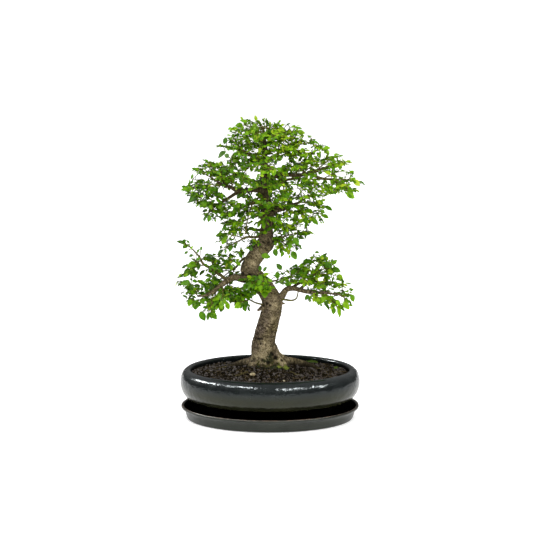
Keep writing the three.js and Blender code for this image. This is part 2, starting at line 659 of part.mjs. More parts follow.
// Keeps the twigs first, then the leaves, that stay clear of the wood, the soil and every other leafy node
function makeFoliage() {
  const nodes = planFoliage();
  const wood = allWood(SEAT_CLEARANCE);
  const ground = soilBlock(CLEARANCE, PLUG.radius);
  const fixed = [wood, ground].map((solid) => ({ solid, bounds: solid.boundingBox() }));
  const placed = [];
  const isClear = (node, piece) => {
    const solid = loneSolid(piece, TEST_GROWTH);
    const others = placed.filter((other) => other.node !== node || (!piece.curve && !other.piece.curve));
    return !meets(solid, others) && !meets(solid, fixed);
  };
  const place = (node, piece) => {
    const solid = loneSolid(piece, 0);
    placed.push({ node, piece, solid, bounds: solid.boundingBox() });
  };
  const walk = (twig, visit) => {
    twig.children = twig.children.filter(visit);
    if (twig.end && !visit(twig.end)) twig.end = null;
    [...twig.children, twig.end].forEach((child) => child?.curve && walk(child, visit));
  };
  for (const node of nodes) {
    const solid = loneSolid(node.root, 0).subtract(wood);
    placed.push({ node, piece: node.root, solid, bounds: solid.boundingBox() });
  }
  for (const wantsTwigs of [true, false]) {
    for (const node of nodes) {
      walk(node.root, (piece) => {
        if (Boolean(piece.curve) !== wantsTwigs) return true;
        if (!isClear(node, piece)) return false;
        place(node, piece);
        return true;
      });
    }
  }
  return nodes.map((node) => {
    const web = newWeb();
    growTwig(web, node.root, null);
    return { name: node.name, solid: largestPiece(webSolid(web).subtract(wood)) };
  });
}

const GLAZE = { color: 0x23282b, roughness: 0.18, metalness: 0 };
const BARK = { color: 0x6e6250, roughness: 0.9, metalness: 0 };
const EARTH = { color: 0x2c221a, roughness: 1, metalness: 0 };
const PALE_STONE = { color: 0xb9ad8c, roughness: 0.8, metalness: 0 };
const NETTING = { color: 0x202020, roughness: 0.6, metalness: 0 };
const LEAF = { color: 0x4f9a1c, roughness: 0.55, metalness: 0 };

const bonsai = new THREE.Group();

function addPiece(name, solid, finish) {
  const mesh = new THREE.Mesh(toGeometry(solid), new THREE.MeshStandardMaterial(finish));
  mesh.name = name;
  bonsai.add(mesh);
}

addPiece("saucer", ovalSolid(SAUCER_OUTLINE, SAUCER_HALF_WIDTH), GLAZE);
addPiece("pot", makePot(), GLAZE);
addPiece("drainage_net_left", makeNet(-DRAIN.x), NETTING);
addPiece("drainage_net_right", makeNet(DRAIN.x), NETTING);
addPiece("soil", makeSoil(), EARTH);
addPiece("stone", makeStone(), PALE_STONE);
addPiece("trunk", makeTrunk(), BARK);
for (const { name, solid } of makeFoliage()) {
  addPiece(name, solid, LEAF);
}

export default bonsai;
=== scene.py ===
"""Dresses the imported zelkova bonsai: bark, leaves, soil, moss and glaze round the fixed frame.

The object is worked out in millimetres in the part's own frame and turned into metres as each mesh is made.
The camera, the lights and the shaders are in metres.
"""

import math
import random

import bpy
import numpy as np
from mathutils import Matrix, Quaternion, Vector, noise


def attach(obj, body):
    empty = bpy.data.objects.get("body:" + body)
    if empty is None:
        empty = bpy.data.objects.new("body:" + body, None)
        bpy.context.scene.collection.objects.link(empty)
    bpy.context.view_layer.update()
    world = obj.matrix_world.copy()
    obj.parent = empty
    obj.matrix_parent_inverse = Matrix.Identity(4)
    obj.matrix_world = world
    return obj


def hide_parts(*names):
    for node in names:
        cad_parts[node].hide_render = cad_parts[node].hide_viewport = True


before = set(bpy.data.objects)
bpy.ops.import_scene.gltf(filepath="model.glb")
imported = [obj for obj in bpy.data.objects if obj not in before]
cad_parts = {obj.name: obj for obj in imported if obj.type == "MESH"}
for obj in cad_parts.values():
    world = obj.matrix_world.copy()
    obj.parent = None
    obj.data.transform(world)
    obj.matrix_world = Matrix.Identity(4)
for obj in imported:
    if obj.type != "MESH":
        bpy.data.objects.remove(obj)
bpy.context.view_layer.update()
MM = 0.001
UP = Vector((0, 0, 1))

# The photograph's view: where the camera stands in metres, how far it looks down, and its lens in mm
CAMERA_X = 0.0078
CAMERA_DISTANCE = 4.0
CAMERA_HEIGHT = 0.976
CAMERA_TILT_DEG = 10.6
CAMERA_LENS = 171.0
# How much higher a point shows from there for each mm that it lies further back
VIEW_RISE = 0.187

# The seeds of the random draws, one for each kind of small thing
SEEDS = {"first_spray": 11, "next_spray": 37, "inner_twigs": 77, "grit": 5, "moss": 9, "rootlets": 21,
         "leafy_nodes": 100, "filling": 303, "edge_leaves": 404, "pale_stone": 11, "pebble": 12}
DRAW_FACTOR = 48271
DRAW_RANGE = 2147483647

# Pot, saucer and soil, as in the part, and the sides of their ovals here
OVAL_NARROWING = 26.5
OVAL_CORE = 100
POT_HALF_WIDTH = 141
SAUCER_HALF_WIDTH = 139.5
SAUCER_FLOOR_Z = 8
SAUCER_LIP_Z = 21.5
POT_FLOOR_Z = 26
POT_FLOOR_THICKNESS = 9
POT_ARRIS_Z = 34
CLEARANCE = 0.3
OVAL_SIDES = 224
FOOT_SIZE = {"width": 34, "depth": 18, "x": 78, "y": 50}
DRAIN = {"radius": 9, "x": 52}
SOIL_EDGE_Z = 70
SOIL_EDGE_INSET = 16.35
SOIL_MOUND = {"x": -6, "y": 15, "height": 14, "spread_x": 75, "spread_y": 42}
STONE = {"x": -27, "y": -30, "radius": 4.6}

# Foliage, as in the part
TWIG_RADIUS = {"root": 1.1, "tip": 0.6}
LEAF_LENGTH = {"low": 17, "high": 12.5, "low_z": 180, "high_z": 450}
# A spray's least lift and how much more it may have, its sway, its side leaves' places and how far they shift
SPRAY = {"lift": 0.04, "more_lift": 0.1, "sway": 0.24, "leaf_places": (0.78, 0.5), "leaf_shift": 0.06}
# Sprays further along a stem than this share grow from its end
STEM_END = 0.95

# Each path runs along the middle of the wood: x, y, z, radius
TRUNK = [
    (-6, 23, 68, 25), (-7, 22, 88, 24), (-8.5, 20, 104, 21.2), (-9, 17.5, 119, 18.2), (-3, 13, 147, 16.8),
    (3, 8, 172, 15.4), (2, 5, 187, 15.4), (-5, 1, 202, 14.2), (-17, -4, 219, 13.6), (-30, -6, 231, 13.4),
    (-32, -6, 239, 13.6), (-27, -5, 251, 12.6), (-17, -3, 265, 12.8), (-7, 0, 278, 13.8),
    (-6, 2, 290, 11.2), (-5, 3, 304, 9.6), (-4, 4, 329, 9.4), (-8.5, 4, 361, 7.5), (-9, 2, 392, 5.8),
    (-8, 1, 424, 4.2), (-9, 0, 438, 3.4),
]
ROOTS = [
    [(-10, 16, 99, 14), (-29, 17, 86, 8), (-52, 18, 81.5, 4.6), (-76, 20, 71, 2.6)],
    [(-2, 16, 99, 14), (19, 17, 88, 8.5), (42, 18, 84.5, 5.6), (61, 21, 80, 4), (82, 25, 70, 2.6)],
    [(-12, 15, 99, 13), (-22, 10, 89, 9.5), (-30, 6, 81, 5.5), (-38, 2, 71, 2.6)],
    [(-5, 14, 100, 14), (-4, 6, 89, 11.5), (-2, 2, 78, 7)],
    [(2, 15, 99, 13), (13, 10, 88, 9), (22, 5, 80.5, 6), (33, 0, 71, 2.8)],
    [(-12, 20, 98, 12), (-25, 36, 85, 6.5), (-40, 51, 71, 2.6)],
    [(0, 20, 98, 12), (13, 37, 85, 6.5), (28, 53, 71, 2.6)],
]
LIMBS = {
    "low_left": [(-20, -2, 226, 8), (-37, -8, 222, 6.4), (-56, -14, 226, 5.2), (-71, -20, 219, 4.6),
                 (-84, -24, 209, 4), (-96, -28, 202, 3), (-113, -32, 200, 1.8)],
    "low_right": [(8, 6, 180, 7), (19, 2, 194, 5.6), (26, -2, 205, 4.8), (37, -5, 207, 4.2),
                  (53, -10, 204, 3.8), (69, -14, 202, 3.2), (85, -18, 203, 2.6), (110, -22, 200, 1.6)],
    "crown_left": [(-9, 4, 359, 5), (-25, -2, 362, 4.2), (-48, -10, 361, 3.6), (-61, -14, 368, 2.8),
                   (-73, -18, 372, 2.4), (-86, -20, 381, 1.7)],
    "crown_left_low": [(-48, -10, 361, 3), (-63, -4, 350, 2.8), (-78, 2, 340, 2.4), (-92, 6, 334, 1.7)],
    "crown_right": [(-9, 3, 376, 4.6), (18, -4, 386, 3.6), (38, -10, 386, 3.2), (62, -14, 390, 2.6),
                    (84, -16, 399, 1.7)],
    "crown_right_low": [(-6, 4, 329, 6.5), (16, -2, 332, 5), (31, -6, 338, 3.2), (48, -10, 344, 1.9)],
}
STUBS = [
    [(-10, -4, 178, 5), (-20, -8, 172, 1.8)],
    [(10, 2, 184, 4), (24, -2, 182, 1.4)],
    [(0, 2, 330, 8), (9, -3, 326, 6.5)],
    [(-8, -2, 282, 8), (-4, -10, 286, 5)],
]

# Leafy stems: the path of the stem, then each spray's place along it and its tip
STEMS = {
    "top": (
        [(-9, 0, 430, 3), (-9, 0, 448, 2.6), (-12, 0, 461, 1.6)],
        [(0.98, -16, 3, 466), (0.85, -42, -10, 464), (0.9, 12, -12, 459), (0.7, -24, -38, 452),
         (0.75, -2, 36, 458), (0.6, 42, 6, 452), (0.5, -47, 14, 446), (0.3, -16, -30, 440)]),
    "crown_left_up": (
        [(-9, 2, 398, 3), (-28, -4, 415, 2.2), (-46, -8, 425, 1.4)],
        [(0.98, -76, -14, 432), (0.8, -60, 18, 438), (0.7, -50, -36, 424), (0.55, -56, 12, 402),
         (0.35, -40, -20, 392)]),
    "crown_right_up": (
        [(-9, 2, 402, 3), (3, -2, 412, 2.2), (17, -5, 423, 1.4)],
        [(0.98, 60, -12, 437), (0.9, 46, 18, 434), (0.7, 24, -38, 430), (0.8, 18, 10, 448)]),
    "crown_front_up": (
        [(-9, 1, 384, 2.6), (-6, -22, 396, 2), (-3, -40, 406, 1.3)],
        [(0.98, 4, -70, 402), (0.85, -32, -58, 410), (0.7, 24, -54, 394), (0.45, 0, -54, 370)]),
    "crown_back_up": (
        [(-9, 3, 404, 2.6), (-6, 26, 411, 2), (-3, 44, 418, 1.3)],
        [(0.98, -4, 72, 414), (0.85, -38, 56, 422), (0.8, 30, 58, 420), (0.5, -22, 34, 440)]),
    "crown_left_back": (
        [(-9, 4, 366, 3), (-31, 22, 374, 2.4), (-53, 38, 381, 1.9), (-72, 46, 386, 1.2)],
        [(0.98, -102, 54, 380), (0.8, -80, 74, 370), (0.6, -64, 50, 406), (0.7, -82, 38, 356),
         (0.3, -46, 42, 350)]),
    "crown_mid_left": (
        [(-8, 3, 338, 2.8), (-25, -8, 342, 2), (-40, -16, 338, 1.3)],
        [(0.98, -68, -30, 326), (0.8, -46, -50, 344)]),
    "crown_right_out": (
        [(58, -13, 389, 2.4), (82, -6, 380, 2), (104, 2, 378, 1.3)],
        [(0.98, 138, 6, 374), (0.75, 122, -22, 362), (0.7, 112, 30, 368), (0.5, 108, -14, 392)]),
    "crown_right_back": (
        [(-9, 4, 372, 3), (16, 24, 372, 2.4), (41, 42, 373, 1.9), (60, 52, 370, 1.2)],
        [(0.98, 92, 60, 368), (0.85, 62, 80, 356), (0.15, 20, 44, 368), (0.6, 50, 56, 394),
         (0.35, 30, 34, 342), (0.7, 78, 44, 400)]),
    "crown_front_low": (
        [(-9, 2, 312, 2.8), (-12, -24, 321, 2.2), (-18, -44, 332, 1.3)],
        [(0.98, -24, -72, 334), (0.75, -50, -48, 318), (0.65, 12, -56, 324), (0.4, 6, -36, 348)]),
    "crown_back_low": (
        [(-9, 4, 318, 2.8), (-13, 30, 326, 2.2), (-19, 54, 332, 1.3)],
        [(0.98, -30, 82, 330), (0.8, -54, 58, 320), (0.7, 14, 70, 328), (0.35, -54, 16, 322),
         (0.2, 6, 38, 300)]),
    "crown_low_left": (
        [(-9, 1, 292, 2.8), (-22, -4, 288, 2.2), (-36, -10, 289, 1.8), (-48, -14, 284, 1.2)],
        [(0.98, -72, -16, 270), (0.8, -72, -24, 296), (0.5, -44, 14, 300), (0.7, -52, 12, 276)]),
    "crown_low_right": (
        [(-6, 0, 279, 2.6), (9, -5, 284, 2), (25, -9, 291, 1.3)],
        [(0.98, 58, -12, 298), (0.7, 34, -18, 268), (0.6, 44, 22, 308)]),
    "low_left_up": (
        [(-66, -18, 222, 2.8), (-86, -14, 237, 2.4), (-103, -8, 246, 2), (-110, -4, 257, 1.6),
         (-120, -1, 268, 1.2)],
        [(0.99, -132, 1, 277), (0.62, -116, -16, 250), (0.45, -126, 12, 234), (0.3, -88, 6, 250),
         (0.2, -94, 10, 220)]),
    "low_left_back": (
        [(-28, 0, 256, 2.6), (-42, 10, 251, 2), (-53, 22, 236, 1.8), (-63, 34, 227, 1.2)],
        [(0.98, -90, 48, 224), (0.8, -62, 62, 210), (0.55, -66, 14, 254), (0.9, -98, 24, 196),
         (0.7, -102, 28, 230)]),
    "low_left_thin": (
        [(-5, 4, 180, 1.8), (-14, -4, 182, 1.5), (-26, -10, 187, 1.3), (-38, -16, 196, 1)],
        [(0.98, -58, -26, 210), (0.8, -46, -38, 190)]),
    "low_right_up": (
        [(46, -8, 206, 2.6), (59, -2, 217, 2.2), (70, 6, 229, 1.8), (75, 8, 238, 1.2)],
        [(0.98, 80, 10, 250), (0.85, 97, 2, 238), (0.55, 50, 12, 232), (0.6, 104, 22, 222),
         (0.4, 70, -18, 240)]),
    "low_right_back": (
        [(33, -4, 207, 2.6), (47, 10, 213, 2.2), (63, 26, 213, 1.8), (82, 38, 209, 1.2)],
        [(0.98, 108, 48, 204), (0.8, 82, 62, 200), (0.5, 50, 40, 226)]),
    "low_back": (
        [(-11, 2, 208, 3), (-6, 30, 209, 2.4), (3, 55, 207, 1.8), (9, 70, 205, 1.2)],
        [(0.98, 18, 96, 198), (0.85, -20, 86, 204), (0.6, 34, 62, 214), (0.5, -32, 48, 214)]),
}
SPRAYS = {
    "crown_left": [(0.98, -112, -24, 396), (0.85, -128, -14, 366), (0.7, -96, 2, 404),
                   (0.8, -88, -46, 372), (0.55, -62, -40, 388)],
    "crown_left_low": [(0.98, -114, 4, 344), (0.8, -97, -18, 325), (0.75, -89, 32, 328)],
    "crown_right": [(0.98, 116, -22, 408), (0.85, 100, 8, 414), (0.7, 84, -40, 396), (0.5, 48, -38, 404),
                    (0.62, 64, -10, 419)],
    "crown_right_low": [(0.98, 84, -14, 338), (0.8, 66, 14, 352), (0.7, 64, -28, 322),
                        (0.6, 40, -38, 342)],
    "low_left": [(0.98, -125, -34, 212), (0.85, -116, -40, 190), (0.72, -94, -48, 178),
                 (0.55, -74, -46, 196), (0.7, -104, -4, 188), (0.42, -64, 20, 196), (0.66, -90, 2, 170),
                 (0.92, -126, -8, 216)],
    "low_right": [(0.98, 121, -24, 192), (0.85, 104, -36, 182), (0.7, 84, -38, 192), (0.75, 98, 4, 188),
                  (0.35, 34, -14, 230), (0.93, 116, 8, 196)],
    "trunk": [(0.415, -34, -36, 221), (0.375, -8, -34, 210)],
}


# Mesh helpers

def link(name, mesh, material, smooth=True):
    obj = bpy.data.objects.new(name, mesh)
    bpy.context.scene.collection.objects.link(obj)
    mesh.materials.append(material)
    if smooth:
        shade_smooth(mesh)
    return obj


def shade_smooth(mesh):
    mesh.polygons.foreach_set("use_smooth", [True] * len(mesh.polygons))


def new_mesh(name, points, faces):
    """A mesh of points in millimetres."""
    mesh = bpy.data.meshes.new(name)
    mesh.from_pydata((np.asarray(points, dtype=float) * MM).tolist(), [], [tuple(face) for face in faces])
    mesh.update()
    return mesh


def dress(obj, slot, *nodes):
    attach(obj, "root")
    if nodes:
        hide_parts(*nodes)
    return obj


def set_attribute(mesh, name, values):
    layer = mesh.attributes.new(name, "FLOAT", "POINT")
    layer.data.foreach_set("value", np.asarray(values, dtype=np.float32))


def positions_of(mesh):
    flat = np.empty(len(mesh.vertices) * 3, dtype=np.float32)
    mesh.vertices.foreach_get("co", flat)
    return flat.reshape(-1, 3)


def normals_of(mesh):
    flat = np.empty(len(mesh.vertices) * 3, dtype=np.float32)
    mesh.vertex_normals.foreach_get("vector", flat)
    return flat.reshape(-1, 3)


def edge_ends(mesh):
    """The two vertex numbers of each edge."""
    flat = np.empty(len(mesh.edges) * 2, dtype=np.int32)
    mesh.edges.foreach_get("vertices", flat)
    return flat.reshape(-1, 2)


def smooth_step(low, high, value):
    share = np.clip((value - low) / (high - low), 0, 1)
    return share * share * (3 - 2 * share)


# Curves, as in the part

def catmull_point(path, place):
    """A point, with its radius, on the curve through a path at a place from 0 to 1."""
    last = len(path) - 1
    at = last * min(max(place, 0.0), 1.0)
    i = min(int(at), last - 1)
    w = at - i
    rows = [np.array(row[:3], dtype=float) for row in path]
    before = rows[i - 1] if i > 0 else 2 * rows[0] - rows[1]
    after = rows[i + 2] if i + 2 <= last else 2 * rows[last] - rows[last - 1]
    a, b = rows[i], rows[i + 1]
    start, end = 0.5 * (b - before), 0.5 * (after - a)
    point = (a + start * w + (-3 * a + 3 * b - 2 * start - end) * w ** 2
             + (2 * a - 2 * b + start + end) * w ** 3)
    return Vector(point)


def path_radius(path, place):
    at = min(place * (len(path) - 1), len(path) - 1 - 1e-9)
    i = int(at)
    return path[i][3] + (path[i + 1][3] - path[i][3]) * (at - i)


def path_length(path):
    return sum((Vector(a[:3]) - Vector(b[:3])).length for a, b in zip(path, path[1:]))


def frames_along(curve, count):
    """Place, heading and side at equal steps along a curve, the side turned no more than the curve turns."""
    previous = curve.heading(0)
    side = Vector((1, 0.3, 0.2)).cross(previous).normalized()
    for i in range(count + 1):
        place = i / count
        heading = curve.heading(place)
        side = (previous.rotation_difference(heading) @ side).normalized()
        previous = heading
        yield place, heading, side


class PathCurve:
    def __init__(self, path):
        self.path = path

    def point(self, place):
        return catmull_point(self.path, place)

    def heading(self, place):
        step = 0.0001
        low, high = max(place - step, 0), min(place + step, 1)
        return (self.point(high) - self.point(low)).normalized()


class BentLine(PathCurve):
    """A line from one point to another, bent up and to one side."""

    def __init__(self, start, end, lift, sway, side):
        length = (end - start).length
        self.start, self.end = start.copy(), end.copy()
        self.bend = start.lerp(end, 0.5) + UP * length * lift + side * length * sway

    def point(self, place):
        back = 1 - place
        return self.start * back ** 2 + self.bend * 2 * place * back + self.end * place ** 2


def seeded_draw(seed):
    """The part's own random draws, from 0 to 1."""
    state = seed

    def draw():
        nonlocal state
        state = (state * DRAW_FACTOR) % DRAW_RANGE
        return state / DRAW_RANGE
    return draw


def left_of(heading, wanted):
    return (wanted - heading * heading.dot(wanted)).normalized()


class Twig:
    """A curve with a radius at its root and tip, and the way that counts as its left."""

    def __init__(self, curve, wanted_left, root, tip):
        self.curve, self.wanted_left, self.root, self.tip = curve, wanted_left, root, tip

    def radius(self, place):
        return self.root + (self.tip - self.root) * place

    def frame(self, place):
        heading = self.curve.heading(place)
        return self.curve.point(place), heading, left_of(heading, self.wanted_left), self.radius(place)


def plan_spray(foot, tip, wanted_left, seed):
    """The part's own twig and leaves of one spray, from the same draws."""
    draw = seeded_draw(seed)
    across = left_of((tip - foot).normalized(), wanted_left)
    lift = SPRAY["lift"] + SPRAY["more_lift"] * draw()
    curve = BentLine(foot, tip, lift, SPRAY["sway"] * (draw() - 0.5), across)
    twig = Twig(curve, wanted_left, TWIG_RADIUS["root"], TWIG_RADIUS["tip"])
    leaf_length = usual_leaf(tip.z)
    leaves = []

    def add_leaf(place, sign):
        point, along, left, radius = twig.frame(place)
        heading = along * (1 if sign == 0 else 0.35)
        heading = heading + left * (sign * 0.9 + 0.3 * (draw() - 0.5))
        heading = (heading + UP * (-0.28 + 0.44 * (draw() - 0.5))).normalized()
        leaf_left = left if sign == 0 else along * -sign
        roll = 0.9 * (draw() - 0.5)
        length = leaf_length * (0.84 + 0.32 * draw())
        leaves.append((point + left * sign * radius, heading, leaf_left, roll, length))

    sign = 1 if draw() < 0.5 else -1
    add_leaf(1, 0)
    for usual in SPRAY["leaf_places"]:
        add_leaf(usual - SPRAY["leaf_shift"] + 2 * SPRAY["leaf_shift"] * draw(), sign)
        sign = -sign
    return twig, leaves


def usual_leaf(z):
    share = (z - LEAF_LENGTH["low_z"]) / (LEAF_LENGTH["high_z"] - LEAF_LENGTH["low_z"])
    return LEAF_LENGTH["low"] + (LEAF_LENGTH["high"] - LEAF_LENGTH["low"]) * share


def first_left(heading, outward):
    lying = UP.cross(heading)
    if lying.length > 0.35:
        return lying.normalized()
    return outward.cross(heading).normalized()


def plan_foliage():
    """Every leafy node with its stem's path, if it has one, and the plans of its sprays."""
    nodes = []
    seed = SEEDS["first_spray"]
    for name, (path, tips) in STEMS.items():
        curve = PathCurve(path)
        end = curve.point(1)
        outward = Vector((end.x, end.y, 0)).normalized()
        stem = Twig(curve, first_left(curve.heading(0.5), outward), path[0][3], path[-1][3])
        sprays = []
        for place, x, y, z in tips:
            target = Vector((x, y, z))
            point, along, left, radius = stem.frame(place)
            sign = 1 if (target - point).dot(left) > 0 else -1
            seed += SEEDS["next_spray"]
            if place > STEM_END:
                sprays.append(plan_spray(point, target, left, seed))
            else:
                sprays.append(plan_spray(point + left * sign * radius, target, along * -sign, seed))
        nodes.append((f"leafy_stem_{name}", path, sprays))
    for limb, tips in SPRAYS.items():
        curve = PathCurve(TRUNK if limb == "trunk" else LIMBS[limb])
        for i, (place, x, y, z) in enumerate(tips):
            foot, target = curve.point(place), Vector((x, y, z))
            outward = Vector((x, y, 0)).normalized()
            seed += SEEDS["next_spray"]
            spray = plan_spray(foot, target, first_left((target - foot).normalized(), outward), seed)
            nodes.append((f"spray_{limb}_{i + 1}", None, [spray]))
    return nodes


def between(draw, low, high):
    return low + (high - low) * draw.random()


# The middle of the tree, x and y
TREE_AXIS = (-9, 2)

# The leafy masses: outline from the front as x and z, depth against width, y of the middle, how many inner
# twigs
MASSES = {
    "crown": (
        [(-138, 363), (-122, 380), (-117, 400), (-102, 403), (-85, 410), (-69, 424), (-71, 441),
         (-62, 458), (-48, 469), (-21, 475), (12, 469), (48, 458), (79, 435), (91, 427), (117, 411),
         (125, 391), (144, 374), (133, 349), (96, 357), (84, 341), (90, 319), (56, 306), (64, 289),
         (44, 275), (12, 275), (-12, 278), (-37, 261), (-61, 262), (-79, 267), (-84, 284), (-64, 294),
         (-60, 305), (-79, 306), (-101, 311), (-95, 327), (-110, 333), (-129, 347)],
        0.62, 4, 376),
    "crown_left": (
        [(-138, 363), (-122, 380), (-117, 400), (-100, 402), (-85, 408), (-62, 400), (-60, 350),
         (-80, 330), (-110, 335), (-130, 350)],
        0.9, 0, 32),
    "crown_top": (
        [(-60, 420), (-62, 452), (-48, 466), (-21, 473), (12, 467), (48, 456), (72, 434), (60, 415),
         (0, 406), (-40, 410)],
        0.7, 4, 75),
    "low_left": (
        [(-149, 225), (-138, 241), (-118, 255), (-105, 260), (-90, 261), (-71, 258), (-53, 250),
         (-50, 238), (-65, 222), (-75, 209), (-40, 212), (-31, 201), (-47, 189), (-58, 184), (-75, 179),
         (-81, 173), (-100, 176), (-114, 184), (-131, 189), (-142, 205)],
        0.9, 2, 48),
    "low_left_near": (
        [(-58, 214), (-24, 216), (-18, 202), (-30, 186), (-48, 182), (-62, 188)],
        0.9, -16, 16),
    "low_right": (
        [(12, 247), (26, 237), (42, 244), (51, 255), (76, 264), (95, 256), (103, 242), (92, 229),
         (123, 215), (132, 193), (126, 175), (100, 169), (84, 182), (65, 188), (50, 202), (37, 220),
         (9, 220)],
        0.85, 4, 52),
    "bend": (
        [(-40, 222), (-30, 236), (-6, 240), (4, 222), (-3, 208), (-24, 206), (-36, 210)],
        0.5, -37, 12),
}

# Gaps through which the background shows from the front: x, z, half width, half height
GAPS = [
    (-103, 227, 11, 7), (-21, 189, 9, 6), (-63, 356, 9, 6), (78, 383, 5, 8), (31, 196, 9, 4),
    (40, 362, 5, 4), (-45, 278, 8, 5), (54, 432, 4, 4), (7, 218, 8, 7), (-69, 415, 8, 9), (-54, 212, 11, 3),
    (89, 379, 6, 5), (-107, 239, 8, 4), (-32, 389, 6, 6), (-83, 370, 7, 5), (-102, 382, 7, 5),
    (10, 397, 5, 5), (-41, 465, 6, 3), (-37, 367, 7, 3), (-107, 191, 6, 6), (108, 190, 5, 4),
    (38, 212, 4, 3), (29, 379, 5, 2), (-28, 318, 7, 3), (-52, 348, 4, 4), (-74, 362, 6, 3), (22, 408, 3, 5),
    (-45, 345, 5, 5), (-75, 223, 4, 4), (-38, 294, 4, 4), (-118, 252, 8, 4), (110, 352, 9, 4),
]


def in_gap(point, margin):
    """Whether something this large would stand in a gap as seen from the front, slightly from above."""
    rise = VIEW_RISE * point[1]
    return any(math.hypot((point[0] - x) / (wide + margin), (point[2] + rise - z) / (high + margin)) < 1
               for x, z, wide, high in GAPS)


def width_at(outline, z):
    """Where a level line crosses an outline, from left to right."""
    crossings = []
    for (ax, az), (bx, bz) in zip(outline, outline[1:] + outline[:1]):
        if (az > z) != (bz > z):
            crossings.append(ax + (bx - ax) * (z - az) / (bz - az))
    return sorted(crossings)


def point_in_mass(outline, depth_share, middle_y, inset, draw):
    """A point within a leafy mass, as deep there as its width allows."""
    lows, highs = [min(value) for value in zip(*outline)], [max(value) for value in zip(*outline)]
    while True:
        x, z = between(draw, lows[0], highs[0]), between(draw, lows[1], highs[1])
        crossings = width_at(outline, z)
        is_inside = sum(1 for crossing in crossings if crossing < x) % 2 == 1
        if not is_inside or min(abs(crossing - x) for crossing in crossings) < inset:
            continue
        if not sum(1 for crossing in width_at(outline, z + inset * 0.7) if crossing < x) % 2:
            continue
        middle, half = (crossings[0] + crossings[-1]) / 2, (crossings[-1] - crossings[0]) / 2
        reach = depth_share * half * math.sqrt(max(0, 1 - ((x - middle) / half) ** 2))
        y = middle_y + between(draw, -reach, reach)
        return Vector((x, y, z))


# How much further off a leafy stem may be than bare wood, in mm, and still bear a twig
BARE_WOOD_COST = 12


class Hosts:
    """Points on wood that more twigs can grow from, each with its radius and the piece that it belongs to."""

    def __init__(self):
        self.points, self.radii, self.owners = [], [], []

    def add(self, owner, curve, radius_at, first, count):
        for i in range(count):
            place = first + (0.97 - first) * i / max(1, count - 1)
            self.points.append(tuple(curve.point(place)))
            self.radii.append(radius_at(place))
            self.owners.append(owner)

    def add_path(self, owner, path, kind):
        self.add(owner, PathCurve(path), lambda place: path_radius(path, place), *HOST_PLACES[kind])

    def best(self, tip):
        """The nearest of them that isn't further out from the tree's middle than the tip."""
        points = np.array(self.points)
        outward = np.hypot(points[:, 0] - TREE_AXIS[0], points[:, 1] - TREE_AXIS[1])
        tip_outward = math.hypot(tip.x - TREE_AXIS[0], tip.y - TREE_AXIS[1])
        cost = np.linalg.norm(points - np.array(tip), axis=1)
        cost += 0.8 * np.maximum(0, outward - tip_outward) + 0.4 * np.maximum(0, points[:, 2] - tip.z)
        cost += [0 if owner else BARE_WOOD_COST for owner in self.owners]
        i = int(cost.argmin())
        return Vector(self.points[i]), self.radii[i], self.owners[i]


# How near a tip may be to the trunk or a limb behind it, as seen from the front, before it hides it, and how
# far above the wood's middle that is measured from, in mm
HIDING = {"trunk": 13, "limb": 8, "rise": 4}
# Points along the first part of each limb, and along the trunk up to the crown's lower part
LIMB_VIEWS = [[PathCurve(path).point(i / 20) for i in range(15)] for path in LIMBS.values()]
TRUNK_VIEW = [PathCurve(TRUNK).point(i / 60) for i in range(41)]

# How inner twigs find their tips: mm from the mass's outline, tries for each, mm from a gap, and the share of
# those in front of a limb that may stay
TIPS = {"inset": 7, "tries": 6, "gap_margin": 3, "over_limb": 0.2}
# Where each kind of wood bears more twigs: the first place along it and how many
HOST_PLACES = {"trunk": (0.62, 30), "limb": (0.12, 16), "stem": (0.2, 10), "spray": (0.15, 7),
               "twig": (0.3, 4)}


def hides_limb(tip):
    """Whether a tip stands close in front of a limb or of the bare trunk."""
    for view, reach in [(TRUNK_VIEW, HIDING["trunk"])] + [(view, HIDING["limb"]) for view in LIMB_VIEWS]:
        for point in view:
            if tip.y < point.y and math.hypot(tip.x - point.x, tip.z - point.z - HIDING["rise"]) < reach:
                return True
    return False


def plan_inner_twigs(plans, hosts):
    """Twigs that fill the leafy masses evenly, each grown from the nearest wood or twig before it."""
    draw = random.Random(SEEDS["inner_twigs"])
    hosts.add_path("", TRUNK, "trunk")
    for path in LIMBS.values():
        hosts.add_path("", path, "limb")
    taken = []
    for node, path, sprays in plans:
        if path:
            hosts.add_path(node, path, "stem")
        for twig, _ in sprays:
            hosts.add(node, twig.curve, lambda place: 0.9, *HOST_PLACES["spray"])
            taken += [twig.curve.point(0.6), twig.curve.point(1)]
    found = []
    for mass, (outline, depth_share, middle_y, count) in MASSES.items():
        tips = []
        while len(tips) < count:
            tries = [point_in_mass(outline, depth_share, middle_y, TIPS["inset"], draw)
                     for _ in range(TIPS["tries"])]
            others = np.array(taken + tips)
            tip = max(tries, key=lambda point: np.linalg.norm(others - np.array(point), axis=1).min())
            if in_gap(tip, TIPS["gap_margin"]):
                continue
            if not hides_limb(tip) or draw.random() < TIPS["over_limb"]:
                tips.append(tip)
        tips.sort(key=lambda tip: math.hypot(tip.x - TREE_AXIS[0], tip.y - TREE_AXIS[1]))
        taken += tips
        for tip in tips:
            owner, twig, reach = grown_twig(tip, hosts, draw)
            found.append((owner or f"inner_{mass}", twig, reach))
            hosts.add(owner, twig.curve, lambda place: 0.7, *HOST_PLACES["twig"])
    return found


def grown_twig(tip, hosts, draw):
    """A thin twig to a tip from the best wood or twig near it, with the piece that it belongs to."""
    foot, radius, owner = hosts.best(tip)
    side = (tip - foot).cross(UP).normalized()
    curve = BentLine(foot, tip, between(draw, 0.02, 0.22), between(draw, -0.16, 0.16), side)
    reach = (tip - foot).length
    root = min(radius * 0.8, 0.55 + 0.012 * reach)
    left = first_left((tip - foot).normalized(), Vector((tip.x, tip.y, 0)).normalized())
    return owner, Twig(curve, left, root, 0.38), reach


# Node trees

